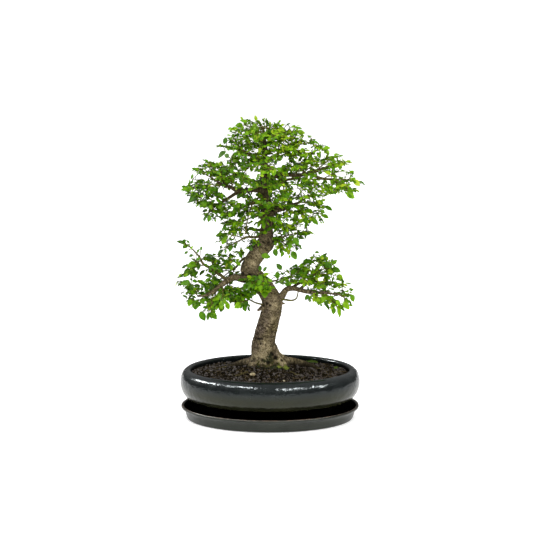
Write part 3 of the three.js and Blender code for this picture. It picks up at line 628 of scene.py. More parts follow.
def add_node(tree, kind, inputs=None, **settings):
    """A shader node whose inputs are given as values or as other nodes' outputs."""
    node = tree.nodes.new("ShaderNode" + kind)
    for key, value in settings.items():
        setattr(node, key, value)
    for key, value in (inputs or {}).items():
        if isinstance(value, bpy.types.NodeSocket):
            tree.links.new(value, node.inputs[key])
        else:
            node.inputs[key].default_value = value
    return node


class Shader:
    """A material's node tree, with short calls for the nodes that the materials share."""

    def __init__(self, name):
        self.material = bpy.data.materials.new(name)
        self.material.use_nodes = True
        self.tree = self.material.node_tree
        self.tree.nodes.clear()
        self.output = self.tree.nodes.new("ShaderNodeOutputMaterial")

    def node(self, kind, inputs=None, **settings):
        return add_node(self.tree, kind, inputs, **settings)

    def place(self):
        return self.node("TexCoord").outputs["Object"]

    def attribute(self, name):
        return self.node("Attribute", attribute_name=name).outputs["Fac"]

    def vector_attribute(self, name):
        return self.node("Attribute", attribute_name=name).outputs["Vector"]

    def noise(self, vector, scale, detail=3, roughness=0.55):
        inputs = {"Vector": vector, "Scale": scale, "Detail": detail, "Roughness": roughness}
        return self.node("TexNoise", inputs).outputs[0]

    def levels(self, value, low, high, to_low=0.0, to_high=1.0):
        return self.node("MapRange", {0: value, 1: low, 2: high, 3: to_low, 4: to_high}).outputs[0]

    def math(self, operation, a, b=0.0):
        return self.node("Math", {0: a, 1: b}, operation=operation).outputs[0]

    def ramp(self, value, *stops):
        node = self.node("ValToRGB", {"Fac": value})
        elements = node.color_ramp.elements
        for element, (place, colour) in zip(elements, (stops[0], stops[-1])):
            element.position = place
            element.color = (*colour, 1)
        for place, colour in stops[1:-1]:
            elements.new(place).color = (*colour, 1)
        return node.outputs[0]

    def mix(self, share, a, b, blend="MIX"):
        """Colour a turned towards colour b by a share."""
        a, b = ((*c, 1) if isinstance(c, tuple) else c for c in (a, b))
        return self.node("Mix", {0: share, 6: a, 7: b}, data_type="RGBA", blend_type=blend).outputs[2]

    def bump(self, height, strength, distance, normal=None):
        inputs = {"Height": height, "Strength": strength, "Distance": distance}
        if normal is not None:
            inputs["Normal"] = normal
        return self.node("Bump", inputs).outputs[0]

    def finish(self, inputs):
        """Ends the tree in one Principled surface and returns the material."""
        surface = self.node("BsdfPrincipled", inputs)
        self.tree.links.new(surface.outputs[0], self.output.inputs["Surface"])
        return self.material


def glaze_material():
    """Dark blue-grey glaze, clouded, faintly speckled and uneven; thinner low down, and black without shine
    under the pot below the arris, as painted shade.
    """
    s = Shader("pot_glaze")
    place = s.place()
    height = s.node("SeparateXYZ", {0: place}).outputs[2]
    thin = s.levels(height, 0.062, 0.05)
    # bare marks the underside and the feet below the arris, which are painted black as shade
    bare = s.levels(height, 0.034, 0.031)
    clouds = s.levels(s.noise(place, 26, 4), 0.36, 0.64)
    flecks = s.levels(s.noise(place, 950, 2), 0.6, 0.72)
    colour = s.mix(clouds, (0.0035, 0.0048, 0.005), (0.0085, 0.0108, 0.0105))
    colour = s.mix(thin, colour, s.mix(clouds, (0.006, 0.0065, 0.003), (0.01, 0.0105, 0.0045)))
    colour = s.mix(s.math("MULTIPLY", flecks, 0.4), colour, (0.04, 0.05, 0.048))
    # Painted shade: black under the pot and on its feet, where the gap over the saucer is dark
    colour = s.mix(bare, colour, (0.001, 0.001, 0.001))
    rough = s.levels(s.noise(place, 70, 4), 0.3, 0.7, 0.1, 0.22)
    # Painted shade: no shine there either
    shine = s.levels(bare, 0.0, 1.0, 0.5, 0.0)
    normal = s.bump(s.noise(place, 90, 3), 0.8, 0.0011)
    normal = s.bump(s.noise(place, 300, 3), 0.6, 0.0004, normal)
    tint = s.mix(thin, (0.92, 1.0, 1.01), (0.92, 0.95, 0.8))
    return s.finish({"Base Color": colour, "Roughness": rough, "IOR": 1.37, "Specular IOR Level": shine,
                     "Specular Tint": tint, "Normal": normal})


def saucer_material():
    """The same clay with a thin satin glaze, lighter brown along the top of the lip, and painted black
    without shine inside, as painted shade under the pot.
    """
    s = Shader("saucer_glaze")
    place = s.place()
    # inside marks the saucer's inner wall and floor, which are painted black as shade
    inside = s.attribute("inside")
    # A lighter brown band along the top of the lip
    lip_band = s.math("MULTIPLY", s.attribute("lip"), s.levels(s.noise(place, 120, 4), 0.42, 0.6, 0.2, 0.9))
    clouds = s.levels(s.noise(place, 30, 5), 0.35, 0.65)
    colour = s.mix(clouds, (0.006, 0.0075, 0.0055), (0.013, 0.0155, 0.0115))
    colour = s.mix(s.levels(s.noise(place, 1100, 2), 0.62, 0.75), colour, (0.04, 0.043, 0.036))
    colour = s.mix(lip_band, colour, (0.11, 0.07, 0.048))
    # Painted shade: black inside the saucer, where the pot shades it
    colour = s.mix(inside, colour, (0.001, 0.001, 0.001))
    rough = s.levels(s.noise(place, 90, 4), 0.3, 0.7, 0.28, 0.44)
    # Painted shade: no shine inside either
    shine = s.levels(inside, 0.0, 0.9, 0.5, 0.0)
    normal = s.bump(s.noise(place, 420, 4), 0.4, 0.0003)
    return s.finish({"Base Color": colour, "Roughness": rough, "IOR": 1.36, "Specular IOR Level": shine,
                     "Specular Tint": (0.97, 1.0, 0.92, 1.0), "Normal": normal})


def net_material():
    """Woven black plastic."""
    s = Shader("netting")
    place = s.place()
    threads = s.node("TexWave", {"Vector": place, "Scale": 160.0}, bands_direction="X").outputs[1]
    across = s.node("TexWave", {"Vector": place, "Scale": 160.0}, bands_direction="Y").outputs[1]
    weave = s.math("MAXIMUM", threads, across)
    colour = s.mix(weave, (0.004, 0.004, 0.004), (0.035, 0.035, 0.035))
    normal = s.bump(weave, 0.8, 0.0006)
    return s.finish({"Base Color": colour, "Roughness": 0.5, "Normal": normal})


def soil_material():
    """Moist earth: near black, with brown crumbs; the tint tells one crumb from the next."""
    s = Shader("soil")
    place = s.place()
    tint = s.attribute("tint")
    crumbs = s.noise(place, 300, 6, 0.78)
    colour = s.ramp(crumbs, (0.42, (0.001, 0.0008, 0.0004)), (0.5, (0.009, 0.0065, 0.003)),
                    (0.57, (0.06, 0.046, 0.024)), (0.65, (0.26, 0.2, 0.115)))
    colour = s.mix(s.levels(s.noise(place, 40, 3), 0.56, 0.42, 0.0, 0.75), colour, (0.003, 0.0022, 0.001))
    chips = s.ramp(tint, (0.0, (0.001, 0.0008, 0.0004)), (0.4, (0.004, 0.003, 0.0013)),
                   (0.62, (0.016, 0.012, 0.0055)), (0.8, (0.11, 0.084, 0.045)), (1.0, (0.5, 0.4, 0.24)))
    chips = s.mix(s.levels(crumbs, 0.45, 0.6, 0.8, 0.0), chips, (0.001, 0.0008, 0.0004))
    colour = s.mix(s.levels(tint, 0.0, 0.02, 0.0, 0.8), colour, chips)
    normal = s.bump(crumbs, 1.0, 0.002)
    normal = s.bump(s.noise(place, 1500, 3), 0.5, 0.0004, normal)
    return s.finish({"Base Color": colour, "Roughness": 0.95, "Specular IOR Level": 0.0, "Normal": normal})


def stone_material():
    """Pale weathered stone with darker pits."""
    s = Shader("pale_stone")
    place = s.place()
    grain = s.noise(place, 380, 6, 0.65)
    colour = s.ramp(grain, (0.32, (0.08, 0.06, 0.025)), (0.5, (0.3, 0.235, 0.11)), (0.68, (0.55, 0.46, 0.26)))
    normal = s.bump(grain, 0.8, 0.0012)
    return s.finish({"Base Color": colour, "Roughness": 0.8, "Normal": normal})


def bark_material():
    """Grey-brown bark, mottled and wrinkled across the wood, with tan and olive patches; painted light
    lightens the side facing right, painted shade darkens the hollows and the trunk inside the crown, and it
    is darker just above the soil line.
    """
    s = Shader("bark")
    place = s.place()
    grain = s.vector_attribute("grain")
    wrinkles = s.noise(grain, 420, 6, 0.7)
    patches = s.noise(place, 60, 4, 0.6)
    colour = s.ramp(wrinkles, (0.33, (0.008, 0.0065, 0.004)), (0.44, (0.07, 0.056, 0.037)),
                    (0.55, (0.165, 0.135, 0.098)), (0.7, (0.39, 0.325, 0.235)))
    # Painted light: the side of the wood facing right is made lighter and yellower, as where the lamps fall;
    # random patches and the wood from about 170 mm up turn warmer as well
    side_light_facing = s.node("SeparateXYZ", {0: s.node("NewGeometry").outputs["Normal"]}).outputs[0]
    sideways = s.levels(side_light_facing, -0.5, 0.5)
    apart = s.node("SeparateXYZ", {0: place})
    height = apart.outputs[2]
    high = s.levels(height, 0.17, 0.2, 0.0, 0.7)
    share = s.math("MULTIPLY", s.levels(patches, 0.4, 0.6), 0.5)
    share = s.math("ADD", share, s.math("MULTIPLY", sideways, 0.5))
    share = s.math("MAXIMUM", share, high)
    patch_and_side_light_tint = s.mix(share, (0.9, 0.84, 0.85), (1.0, 0.98, 0.66))
    colour = s.mix(1.0, colour, patch_and_side_light_tint, "MULTIPLY")
    dabs = s.levels(s.noise(place, 330, 4, 0.65), 0.38, 0.62, 0.55, 1.2)
    colour = s.mix(1.0, colour, s.node("CombineColor", {0: dabs, 1: dabs, 2: dabs}).outputs[0], "MULTIPLY")
    speckle = s.levels(s.noise(place, 620, 4, 0.7), 0.42, 0.58)
    pale = s.math("MULTIPLY", s.attribute("pale"), s.levels(s.noise(place, 200, 5, 0.7), 0.4, 0.53))
    tan = s.mix(speckle, (0.19, 0.15, 0.075), (0.52, 0.43, 0.255))
    colour = s.mix(s.math("MULTIPLY", pale, 0.85), colour, tan)
    moss = s.math("MULTIPLY", s.attribute("moss"), s.levels(s.noise(place, 260, 4, 0.65), 0.42, 0.58))
    green = s.mix(speckle, (0.004, 0.006, 0.001), (0.07, 0.075, 0.008))
    colour = s.mix(s.math("MULTIPLY", moss, 0.92), colour, green)
    # Painted shade: near black in the bark's hollows and dents
    colour = s.mix(s.attribute("hollow_shade"), colour, s.mix(0.92, colour, (0.004, 0.003, 0.0015)))
    # Painted shade: the trunk darker inside the crown, where the leaves shade it
    colour = s.mix(s.math("MULTIPLY", s.attribute("crown_shade"), 0.6), colour, (0.035, 0.026, 0.01))
    # Darker just above the soil line, reaching higher to the sides of the trunk's middle
    uneven = s.math("ADD", height, s.math("MULTIPLY", s.noise(place, 130, 4, 0.7), 0.018))
    beside = s.math("ABSOLUTE", s.math("ADD", apart.outputs[0], 0.003))
    uneven = s.math("SUBTRACT", uneven, s.levels(beside, 0.018, 0.04, 0.0, 0.007))
    near_soil_dark = s.math("MULTIPLY", s.levels(uneven, 0.093, 0.085), 0.85)
    colour = s.mix(near_soil_dark, colour, (0.012, 0.009, 0.0045))
    normal = s.bump(wrinkles, 1.0, 0.002)
    normal = s.bump(s.noise(place, 1300, 3, 0.6), 0.4, 0.0004, normal)
    return s.finish({"Base Color": colour, "Roughness": 0.95, "Specular IOR Level": 0.04, "Normal": normal})


def twig_material():
    """Thin bark, warm brown on old wood and olive on the young ends."""
    s = Shader("twig_bark")
    place = s.place()
    grain = s.noise(place, 600, 5, 0.65)
    old = s.ramp(grain, (0.32, (0.014, 0.012, 0.003)), (0.52, (0.07, 0.058, 0.02)), (0.7, (0.24, 0.2, 0.09)))
    young = s.ramp(grain, (0.32, (0.05, 0.06, 0.005)), (0.7, (0.22, 0.24, 0.028)))
    colour = s.mix(s.attribute("young"), old, young)
    normal = s.bump(grain, 0.6, 0.0006)
    return s.finish({"Base Color": colour, "Roughness": 0.95, "Specular IOR Level": 0.02, "Normal": normal})


def moss_material():
    """Moss blades, deep green to olive yellow by tint."""
    s = Shader("moss")
    tint = s.math("ADD", s.attribute("tint"), s.levels(s.noise(s.place(), 500, 3), 0.3, 0.7, -0.15, 0.15))
    colour = s.ramp(tint, (0.0, (0.01, 0.014, 0.004)), (0.4, (0.04, 0.07, 0.008)), (0.7, (0.1, 0.19, 0.012)),
                    (1.0, (0.3, 0.31, 0.05)))
    return s.finish({"Base Color": colour, "Roughness": 0.85, "Specular IOR Level": 0.2})


def leaf_material():
    """A thin leaf: pale midrib and side veins, darker above than below, light coming through."""
    s = Shader("leaf")
    place = s.place()
    along, across = s.attribute("along"), s.attribute("across")
    spread = s.math("ABSOLUTE", across)
    slanted = s.math("SUBTRACT", s.math("MULTIPLY", along, 8.5), s.math("MULTIPLY", spread, 3.4))
    ridge = s.math("ABSOLUTE", s.math("SUBTRACT", s.math("FRACT", slanted), 0.5))
    side_veins = s.levels(ridge, 0.03, 0.13, 1.0, 0.0)
    midrib = s.levels(spread, 0.03, 0.09, 1.0, 0.0)
    veins = s.math("MAXIMUM", s.math("MULTIPLY", side_veins, 0.55), midrib)
    # The tint carries painted light: lighter, yellower leaves where the lamps fall and deeper green ones
    # where shade falls
    tone = s.math("ADD", s.attribute("tint"), s.levels(s.noise(place, 130, 3), 0.3, 0.7, -0.12, 0.12))
    colour = s.ramp(tone, (0.0, (0.02, 0.08, 0.001)), (0.35, (0.075, 0.225, 0.002)),
                    (0.65, (0.21, 0.43, 0.003)), (1.0, (0.5, 0.62, 0.03)))
    colour = s.mix(s.math("MULTIPLY", veins, 0.3), colour, (0.26, 0.45, 0.02))
    colour = s.mix(s.levels(s.noise(place, 620, 3), 0.56, 0.72, 0.0, 0.25), colour, (0.03, 0.1, 0.001))
    under = s.levels(s.attribute("upper"), 0.35, 0.05)
    colour = s.mix(s.math("MULTIPLY", under, 0.4), colour, (0.15, 0.28, 0.012))
    blisters = s.math("SUBTRACT", s.noise(place, 900, 3), s.math("MULTIPLY", veins, 0.8))
    normal = s.bump(blisters, 0.35, 0.0004)
    surface = s.node("BsdfPrincipled", {"Base Color": colour, "Roughness": 0.5, "Specular IOR Level": 0.12,
                                        "Normal": normal})
    glow = s.mix(0.35, colour, (0.4, 0.6, 0.004))
    through = s.node("BsdfTranslucent", {"Color": glow, "Normal": normal})
    both = s.node("MixShader", {0: 0.34, 1: surface.outputs[0], 2: through.outputs[0]})
    s.tree.links.new(both.outputs[0], s.output.inputs["Surface"])
    return s.material


def floor_material():
    """White studio floor that lights up a little by itself, so that only the contact shadow shows."""
    s = Shader("studio_floor")
    shade = s.levels(s.noise(s.place(), 3, 3), 0.3, 0.7, 0.93, 0.95)
    return s.finish({"Base Color": shade, "Roughness": 0.7, "Specular IOR Level": 0.2,
                     "Emission Color": (1, 1, 1, 1), "Emission Strength": 0.5})


# Studio

def make_camera():
    data = bpy.data.cameras.new("camera")
    data.lens = CAMERA_LENS
    data.sensor_width = 36
    data.clip_end = 100
    camera = bpy.data.objects.new("camera", data)
    camera.location = (CAMERA_X, -CAMERA_DISTANCE, CAMERA_HEIGHT)
    camera.rotation_euler = (math.radians(90 - CAMERA_TILT_DEG), 0, 0)
    bpy.context.scene.collection.objects.link(camera)
    bpy.context.scene.camera = camera


def make_world():
    """White behind the object, soft light all round it, and a dark room for everything that it reflects."""
    world = bpy.data.worlds.new("studio")
    bpy.context.scene.world = world
    world.use_nodes = True
    tree = world.node_tree
    tree.nodes.clear()
    ray = add_node(tree, "LightPath").outputs
    direction = add_node(tree, "TexCoord").outputs["Generated"]
    height = add_node(tree, "SeparateXYZ", {0: direction}).outputs["Z"]
    strength = add_node(tree, "MapRange", {0: height, 1: 0.05, 2: 0.9, 3: 0.1, 4: 1.2}).outputs[0]
    room = add_node(tree, "Background", {"Strength": strength}).outputs[0]
    soft = add_node(tree, "Background", {"Strength": 0.8}).outputs[0]
    backdrop = add_node(tree, "Background", {"Color": (1, 1, 1, 1)}).outputs[0]
    lit = add_node(tree, "MixShader", {0: ray["Is Glossy Ray"], 1: soft, 2: room}).outputs[0]
    mixed = add_node(tree, "MixShader", {0: ray["Is Camera Ray"], 1: lit, 2: backdrop}).outputs[0]
    add_node(tree, "OutputWorld", {0: mixed})


# Lamps and windows: place, what they face, size, energy in watts, whether it is a window
TREE_MIDDLE, POT_MIDDLE = (0, 0, 0.25), (0, 0, 0.07)
LIGHTS = {
    "ceiling": ((-0.3, -0.5, 2.6), TREE_MIDDLE, (2.2, 2.2), 50, False),
    "front_fill": ((0.8, -3.2, 1.5), TREE_MIDDLE, (2.0, 1.6), 62, False),
    "back_fill": ((-0.8, 2.6, 1.6), TREE_MIDDLE, (2.0, 1.6), 16, False),
    "window_far_left": ((-1.4, 0.36, 0.86), POT_MIDDLE, (0.14, 0.12), 13.0, True),
    "window_near_left": ((-1.36, 0.08, 0.94), POT_MIDDLE, (0.22, 0.1), 20.0, True),
    "window_left": ((-1.25, -0.26, 1.02), POT_MIDDLE, (0.26, 0.08), 16.0, True),
    "window_middle": ((-0.72, -0.98, 1.14), POT_MIDDLE, (0.8, 0.09), 22.0, True),
    "window_right": ((0.62, -1.26, 0.9), POT_MIDDLE, (0.6, 0.06), 16.0, True),
    "window_far_right": ((1.25, -0.7, 0.9), POT_MIDDLE, (0.4, 0.07), 12.0, True),
}
FLOOR_HALF_SIDE = 9.0
FLOOR_DROP = 0.0003


def make_light(name, place, target, size, energy, is_window):
    """A soft lamp that lights the object, or a window that only shows as a reflection in its glaze."""
    data = bpy.data.lights.new(name, "AREA")
    data.shape = "RECTANGLE"
    data.size, data.size_y = size
    data.energy = energy
    light = bpy.data.objects.new(name, data)
    light.location = place
    light.rotation_euler = (Vector(target) - Vector(place)).to_track_quat("-Z", "Y").to_euler()
    light.visible_glossy = is_window
    light.visible_diffuse = not is_window
    bpy.context.scene.collection.objects.link(light)


def make_studio():
    bpy.context.scene.view_settings.view_transform = "Standard"
    make_camera()
    make_world()
    for name, light in LIGHTS.items():
        make_light(name, *light)
    mesh = bpy.data.meshes.new("floor")
    side = FLOOR_HALF_SIDE
    corners = [(-side, -side, 0), (side, -side, 0), (side, side, 0), (-side, side, 0)]
    mesh.from_pydata(corners, [], [(0, 1, 2, 3)])
    floor = link("floor", mesh, floor_material(), smooth=False)
    floor.location.z = -FLOOR_DROP


# Pot, saucer and nets

def rounded_outline(corners, steps):
    """A smooth run of (radius, z) points through the corners of a profile."""
    path = [(radius, 0, z, 0) for radius, z in corners]
    count = (len(corners) - 1) * steps
    points = [catmull_point(path, i / count) for i in range(count + 1)]
    return [(point.x, point.z) for point in points]


def oval_ring(radius, z, sides):
    """Points round an oval, narrowed front to back as the part is."""
    narrowing = OVAL_NARROWING * min(1.0, radius / OVAL_CORE)
    angles = np.linspace(0, 2 * math.pi, sides, endpoint=False)
    depth = radius - narrowing if radius else 0
    return np.column_stack([radius * np.cos(angles), depth * np.sin(angles), np.full(sides, z)])


def lathe_faces(rings, sides):
    faces = []
    for i in range(rings - 1):
        for j in range(sides):
            k = (j + 1) % sides
            faces.append((i * sides + j, i * sides + k, (i + 1) * sides + k, (i + 1) * sides + j))
    return faces


def turned_oval(name, profile, sides, material):
    """A closed oval body turned from a profile that runs from the underside's middle to the top's middle."""
    rings = [oval_ring(max(radius, 0.01), z, sides) for radius, z in profile]
    mesh = new_mesh(name, np.vstack(rings), lathe_faces(len(rings), sides) + end_caps(len(rings), sides))
    return link(name, mesh, material)


def end_caps(rings, sides):
    last = (rings - 1) * sides
    return [tuple(reversed(range(sides))), tuple(range(last, last + sides))]


def make_foot(x, y):
    """One foot of the pot: a low block with rounded corners, flared where it meets the floor."""
    corner = 5.0
    width, depth = FOOT_SIZE["width"] / 2, FOOT_SIZE["depth"] / 2
    outline = []
    for turn in range(4):
        cx = (width - corner) * (1 if turn in (0, 3) else -1)
        cy = (depth - corner) * (1 if turn in (0, 1) else -1)
        for step in range(6):
            angle = math.radians(90 * turn + 18 * step)
            outline.append((cx + corner * math.cos(angle), cy + corner * math.sin(angle)))
    levels = [(0.9, SAUCER_FLOOR_Z + CLEARANCE), (0.96, SAUCER_FLOOR_Z + 0.8), (1.0, SAUCER_FLOOR_Z + 2),
              (1.0, 18), (1.04, 23), (1.12, POT_FLOOR_Z + 1), (1.14, POT_FLOOR_Z + 4)]
    return [[(x + px * share, y + py * share, z) for px, py in outline] for share, z in levels]


def make_pot():
    half = POT_HALF_WIDTH
    outside = rounded_outline([
        (half - 10, POT_ARRIS_Z), (half - 3.6, 43), (half - 0.6, 52), (half, 60), (half - 1.6, 68.5),
        (half - 5.6, 75.5), (half - 12.2, 79), (half - 17, 76.5), (half - 16, 70), (half - 9, 58),
        (half - 12, 44), (half - 24, POT_FLOOR_Z + POT_FLOOR_THICKNESS),
    ], 5)
    profile = [(half - 40, POT_FLOOR_Z), (half - 36, POT_FLOOR_Z + 0.6), (half - 24, 29.4), (half - 12, 33)]
    shell = turned_oval("pot_shell", [*profile, *outside], OVAL_SIDES, glaze_material())
    cut_drains(shell)
    builder = Builder()
    for x in (-FOOT_SIZE["x"], FOOT_SIZE["x"]):
        for y in (-FOOT_SIZE["y"], FOOT_SIZE["y"]):
            builder.add_rings(make_foot(x, y))
    feet = link("pot_feet", builder.mesh("pot_feet"), shell.data.materials[0])
    dress(shell, "pot_glaze", "pot")
    dress(feet, "pot_glaze", "pot")


def cut_drains(shell):
    """Cuts the two drainage holes through the pot's floor."""
    sides, radius = 40, DRAIN["radius"]
    angles = [2 * math.pi * i / sides for i in range(sides)]
    builder = Builder()
    for x in (-DRAIN["x"], DRAIN["x"]):
        builder.add_rings([[(x + radius * math.cos(angle), radius * math.sin(angle), z) for angle in angles]
                           for z in (POT_FLOOR_Z - 5, POT_FLOOR_Z + 20)])
    cutter = link("drain_cutter", builder.mesh("drain_cutter"), shell.data.materials[0], smooth=False)
    cut = shell.modifiers.new("drain", "BOOLEAN")
    cut.operation = "DIFFERENCE"
    cut.object = cutter
    cut.solver = "EXACT"
    apply_modifiers(shell)
    bpy.data.objects.remove(cutter)
    shade_smooth(shell.data)
    sharpen(shell.data, 40)


def apply_modifiers(obj):
    """Replaces an object's mesh by its shape with all modifiers."""
    depsgraph = bpy.context.evaluated_depsgraph_get()
    made = bpy.data.meshes.new_from_object(obj.evaluated_get(depsgraph))
    obj.modifiers.clear()
    obj.data = made


def sharpen(mesh, degrees):
    mesh.set_sharp_from_angle(angle=math.radians(degrees))


def make_saucer():
    half = SAUCER_HALF_WIDTH
    outer = [(half - 11.5, 0.3), (half - 9, 2), (half - 5.5, 13), (half - 0.6, 17.8), (half, 19.8),
             (half - 1.2, SAUCER_LIP_Z)]
    inner = [(half - 4, SAUCER_LIP_Z - 1), (half - 9, 15.5), (half - 13, SAUCER_FLOOR_Z + 1),
             (half - 18, SAUCER_FLOOR_Z)]
    steps, sides = 6, OVAL_SIDES
    profile = [(half - 40, 0), (half - 15, 0), (half - 12.5, 0), *rounded_outline(outer + inner, steps),
               (half - 24, SAUCER_FLOOR_Z), (half - 60, SAUCER_FLOOR_Z)]
    saucer = turned_oval("saucer_dish", profile, sides, saucer_material())
    height = positions_of(saucer.data)[:, 2] / MM
    set_attribute(saucer.data, "lip", smooth_step(SAUCER_LIP_Z - 0.9, SAUCER_LIP_Z - 0.3, height))
    # The inside is painted black as shade by the saucer's material
    first_inside = 3 + len(outer) * steps
    inside = smooth_step(first_inside - 3, first_inside + 2, np.arange(len(profile)))
    set_attribute(saucer.data, "inside", np.repeat(inside, sides))
    sharpen(saucer.data, 50)
    dress(saucer, "saucer_glaze", "saucer")


def make_nets():
    material = net_material()
    for side in ("left", "right"):
        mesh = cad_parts[f"drainage_net_{side}"].data
        mesh.materials.clear()
        mesh.materials.append(material)


# Wood: one field of round segments that the bark, the soil and the moss are fitted to

# How many points are measured against the wood in one go, which limits the memory
POINTS_AT_ONCE = 4000


class Wood:
    """The axis of every trunk, root, limb and stub as short segments with a radius at each end."""

    def __init__(self, paths, step):
        rows = []
        for number, path in enumerate(paths):
            curve, span = PathCurve(path), path_length(path)
            for place, heading, side in frames_along(curve, max(2, round(span / step))):
                rows.append((number, *curve.point(place), path_radius(path, place), span * place, *side,
                             *side.cross(heading)))
        self.rows = np.array(rows)
        joined = self.rows[:-1, 0] == self.rows[1:, 0]
        self.a, self.b = self.rows[:-1][joined], self.rows[1:][joined]

    def nearest(self, points):
        """For each point: how far it lies outside the wood, and its place in the grain."""
        away = np.empty(len(points))
        grain = np.empty((len(points), 3))
        a, b = self.a[:, 1:4], self.b[:, 1:4]
        line = b - a
        squared = (line ** 2).sum(1)
        for start in range(0, len(points), POINTS_AT_ONCE):
            part = points[start:start + POINTS_AT_ONCE]
            share = ((part[:, None] - a) * line).sum(2) / squared
            share = np.clip(share, 0, 1)
            foot = a + share[..., None] * line
            radius = self.a[:, 4] + share * (self.b[:, 4] - self.a[:, 4])
            gap = np.linalg.norm(part[:, None] - foot, axis=2) - radius
            best = gap.argmin(1)
            index = np.arange(len(part))
            away[start:start + POINTS_AT_ONCE] = gap[index, best]
            offset = part - foot[index, best]
            row = self.a[best]
            length = row[:, 5] + share[index, best] * (self.b[best, 5] - row[:, 5])
            grain[start:start + POINTS_AT_ONCE] = np.column_stack(
                [(offset * row[:, 6:9]).sum(1), (offset * row[:, 9:12]).sum(1), length])
        return away, grain


def tube_rings(path, sides, step):
    """Rings of points round a path, a step apart."""
    count = max(2, round(path_length(path) / step))
    return curve_rings(PathCurve(path), lambda place: path_radius(path, place), sides, count)


def curve_rings(curve, radius_at, sides, count):
    rings = []
    angles = [2 * math.pi * j / sides for j in range(sides)]
    for place, heading, side in frames_along(curve, count):
        up = side.cross(heading)
        middle, radius = curve.point(place), radius_at(place)
        rings.append([middle + (side * math.cos(angle) - up * math.sin(angle)) * radius for angle in angles])
    return rings


class Builder:
    """Gathers closed tubes and other bits into one mesh, with a value at each point."""

    def __init__(self):
        self.points, self.faces, self.values = [], [], []

    def add_rings(self, rings, value_at=lambda place: 0.0):
        sides = len(rings[0])
        start = len(self.points)
        for i, ring in enumerate(rings):
            self.points += [tuple(point) for point in ring]
            self.values += [value_at(i / (len(rings) - 1))] * sides
        ends = lathe_faces(len(rings), sides) + end_caps(len(rings), sides)
        self.faces += [tuple(start + i for i in face) for face in ends]

    def mesh(self, name, attribute=None):
        mesh = new_mesh(name, self.points, self.faces)
        if attribute:
            set_attribute(mesh, attribute, self.values)
        return mesh


WOOD_PATHS = [TRUNK, *ROOTS, *LIMBS.values(), *STUBS]
WOOD = Wood(WOOD_PATHS, 4.0)

# Marks on the bark: x, y, z, radius of the mark, depth of its hollow (below 0 stands out), how dark its
# painted shade is
BARK_MARKS = [
    (-19.5, 3.5, 125, 2.1, 1.4, 1.0), (-17, 2.2, 125, 2.3, 1.8, 1.0), (-14.5, 1, 125.5, 2.1, 1.6, 1.0),
    (-12, 0.2, 126, 1.8, 1.2, 1.0), (-15, 1.4, 117.5, 2.0, 1.4, 1.0), (-18, 3, 116.5, 1.8, 1.2, 0.8),
    (0, -8, 180, 3.0, 1.6, 0.9), (-6, -9, 183, 3.2, 1.6, 0.9), (-10, -6, 180, 2.4, 1.2, 0.8),
    (-2, -11, 280, 5.2, 2.0, 0.75), (-9, -11, 282, 4.0, 1.2, 0.5), (-15, -14, 270, 5.0, -1.6, 0.0),
    (3, -7, 331, 3.6, 1.8, 0.8), (-42, -14, 232, 4.6, 1.6, 0.8), (-31, -19, 231, 4.0, 2.4, 1.0),
    (-24, -16, 228, 4.0, 1.8, 1.0), (-40, -12, 232, 3.4, 1.2, 0.9), (8, -6, 190, 5.0, -1.6, 0.0),
    (-1, -4, 160, 3.0, 1.0, 0.5), (12, 0, 166, 4.0, -1.4, 0.0), (5, -4, 137, 2.4, 0.8, 0.5),
    (-12, -2, 150, 2.2, 0.8, 0.5), (-8, -3, 170, 2.2, 0.8, 0.5), (-10, 29, 150, 5.0, 1.8, 0.7),
    (-4, 34, 118, 6.0, 1.6, 0.6), (-2, 20, 196, 4.0, 1.6, 0.8), (-22, 8, 238, 5.0, -2.0, 0.0),
    (-24, 5, 92, 4.0, 1.6, 0.9), (9, 2, 94, 3.6, 2.2, 1.0), (1, -2, 99, 3.4, 2.2, 1.0),
    (6, 0, 101, 2.6, 1.4, 0.9), (-13, -1, 92, 3.2, 1.6, 0.9), (17, 7, 88, 3.6, 2.0, 1.0),
    (4, 1, 102, 4.5, 2.4, 1.0), (11, 0, 96, 4.5, 2.6, 1.0), (-3, -5, 89, 4.5, 1.6, 1.0),
    (-29, 4, 90, 3.0, 1.4, 0.9), (-5, 14, 300, 4.5, 1.4, 0.7), (-12, -6, 352, 4.0, 1.4, 0.7),
    (-2, 10, 365, 4.0, -1.2, 0.0),
]
# Olive and tan patches, then moss: x, y, z, radius, strength
PALE_PATCHES = [
    (-6, -3, 112, 12, 1.0), (-9, -4, 103, 12, 1.0), (-22, 4, 96, 10, 1.0), (-12, -5, 93, 9, 1.0),
    (-32, 6, 83, 8, 1.0), (14, 4, 90, 7, 1.0), (6, -8, 180, 9, 0.55), (5, -9, 192, 8, 0.4),
    (-26, -18, 248, 8, 0.6), (-16, -14, 262, 10, 0.45), (-10, 36, 108, 12, 0.8), (14, 20, 100, 10, 0.6),
    (22, 4, 84, 7, 0.9), (-14, 10, 300, 7, 0.4), (-26, -14, 240, 9, 0.4), (4, -5, 160, 9, 0.4),
    (30, 16, 87, 8, 0.5), (46, 17, 84, 8, 0.4), (60, 20, 80, 7, 0.35), (-44, 17, 83, 8, 0.65),
    (-58, 18, 79, 8, 0.5),
]
MOSS_PATCHES = [
    (-6, -4, 88, 8, 1.0), (3, -2, 90, 7, 1.0), (9, -2, 84, 7, 1.0), (-18, 3, 86, 6, 0.7),
    (-2, 44, 88, 12, 1.0), (18, 22, 88, 9, 0.7), (-26, 18, 86, 9, 0.6), (4, -1, 104, 6, 0.8),
    (-10, 40, 100, 8, 0.8), (-20, -17, 226, 7, 0.8), (-6, -13, 205, 6, 0.6),
]


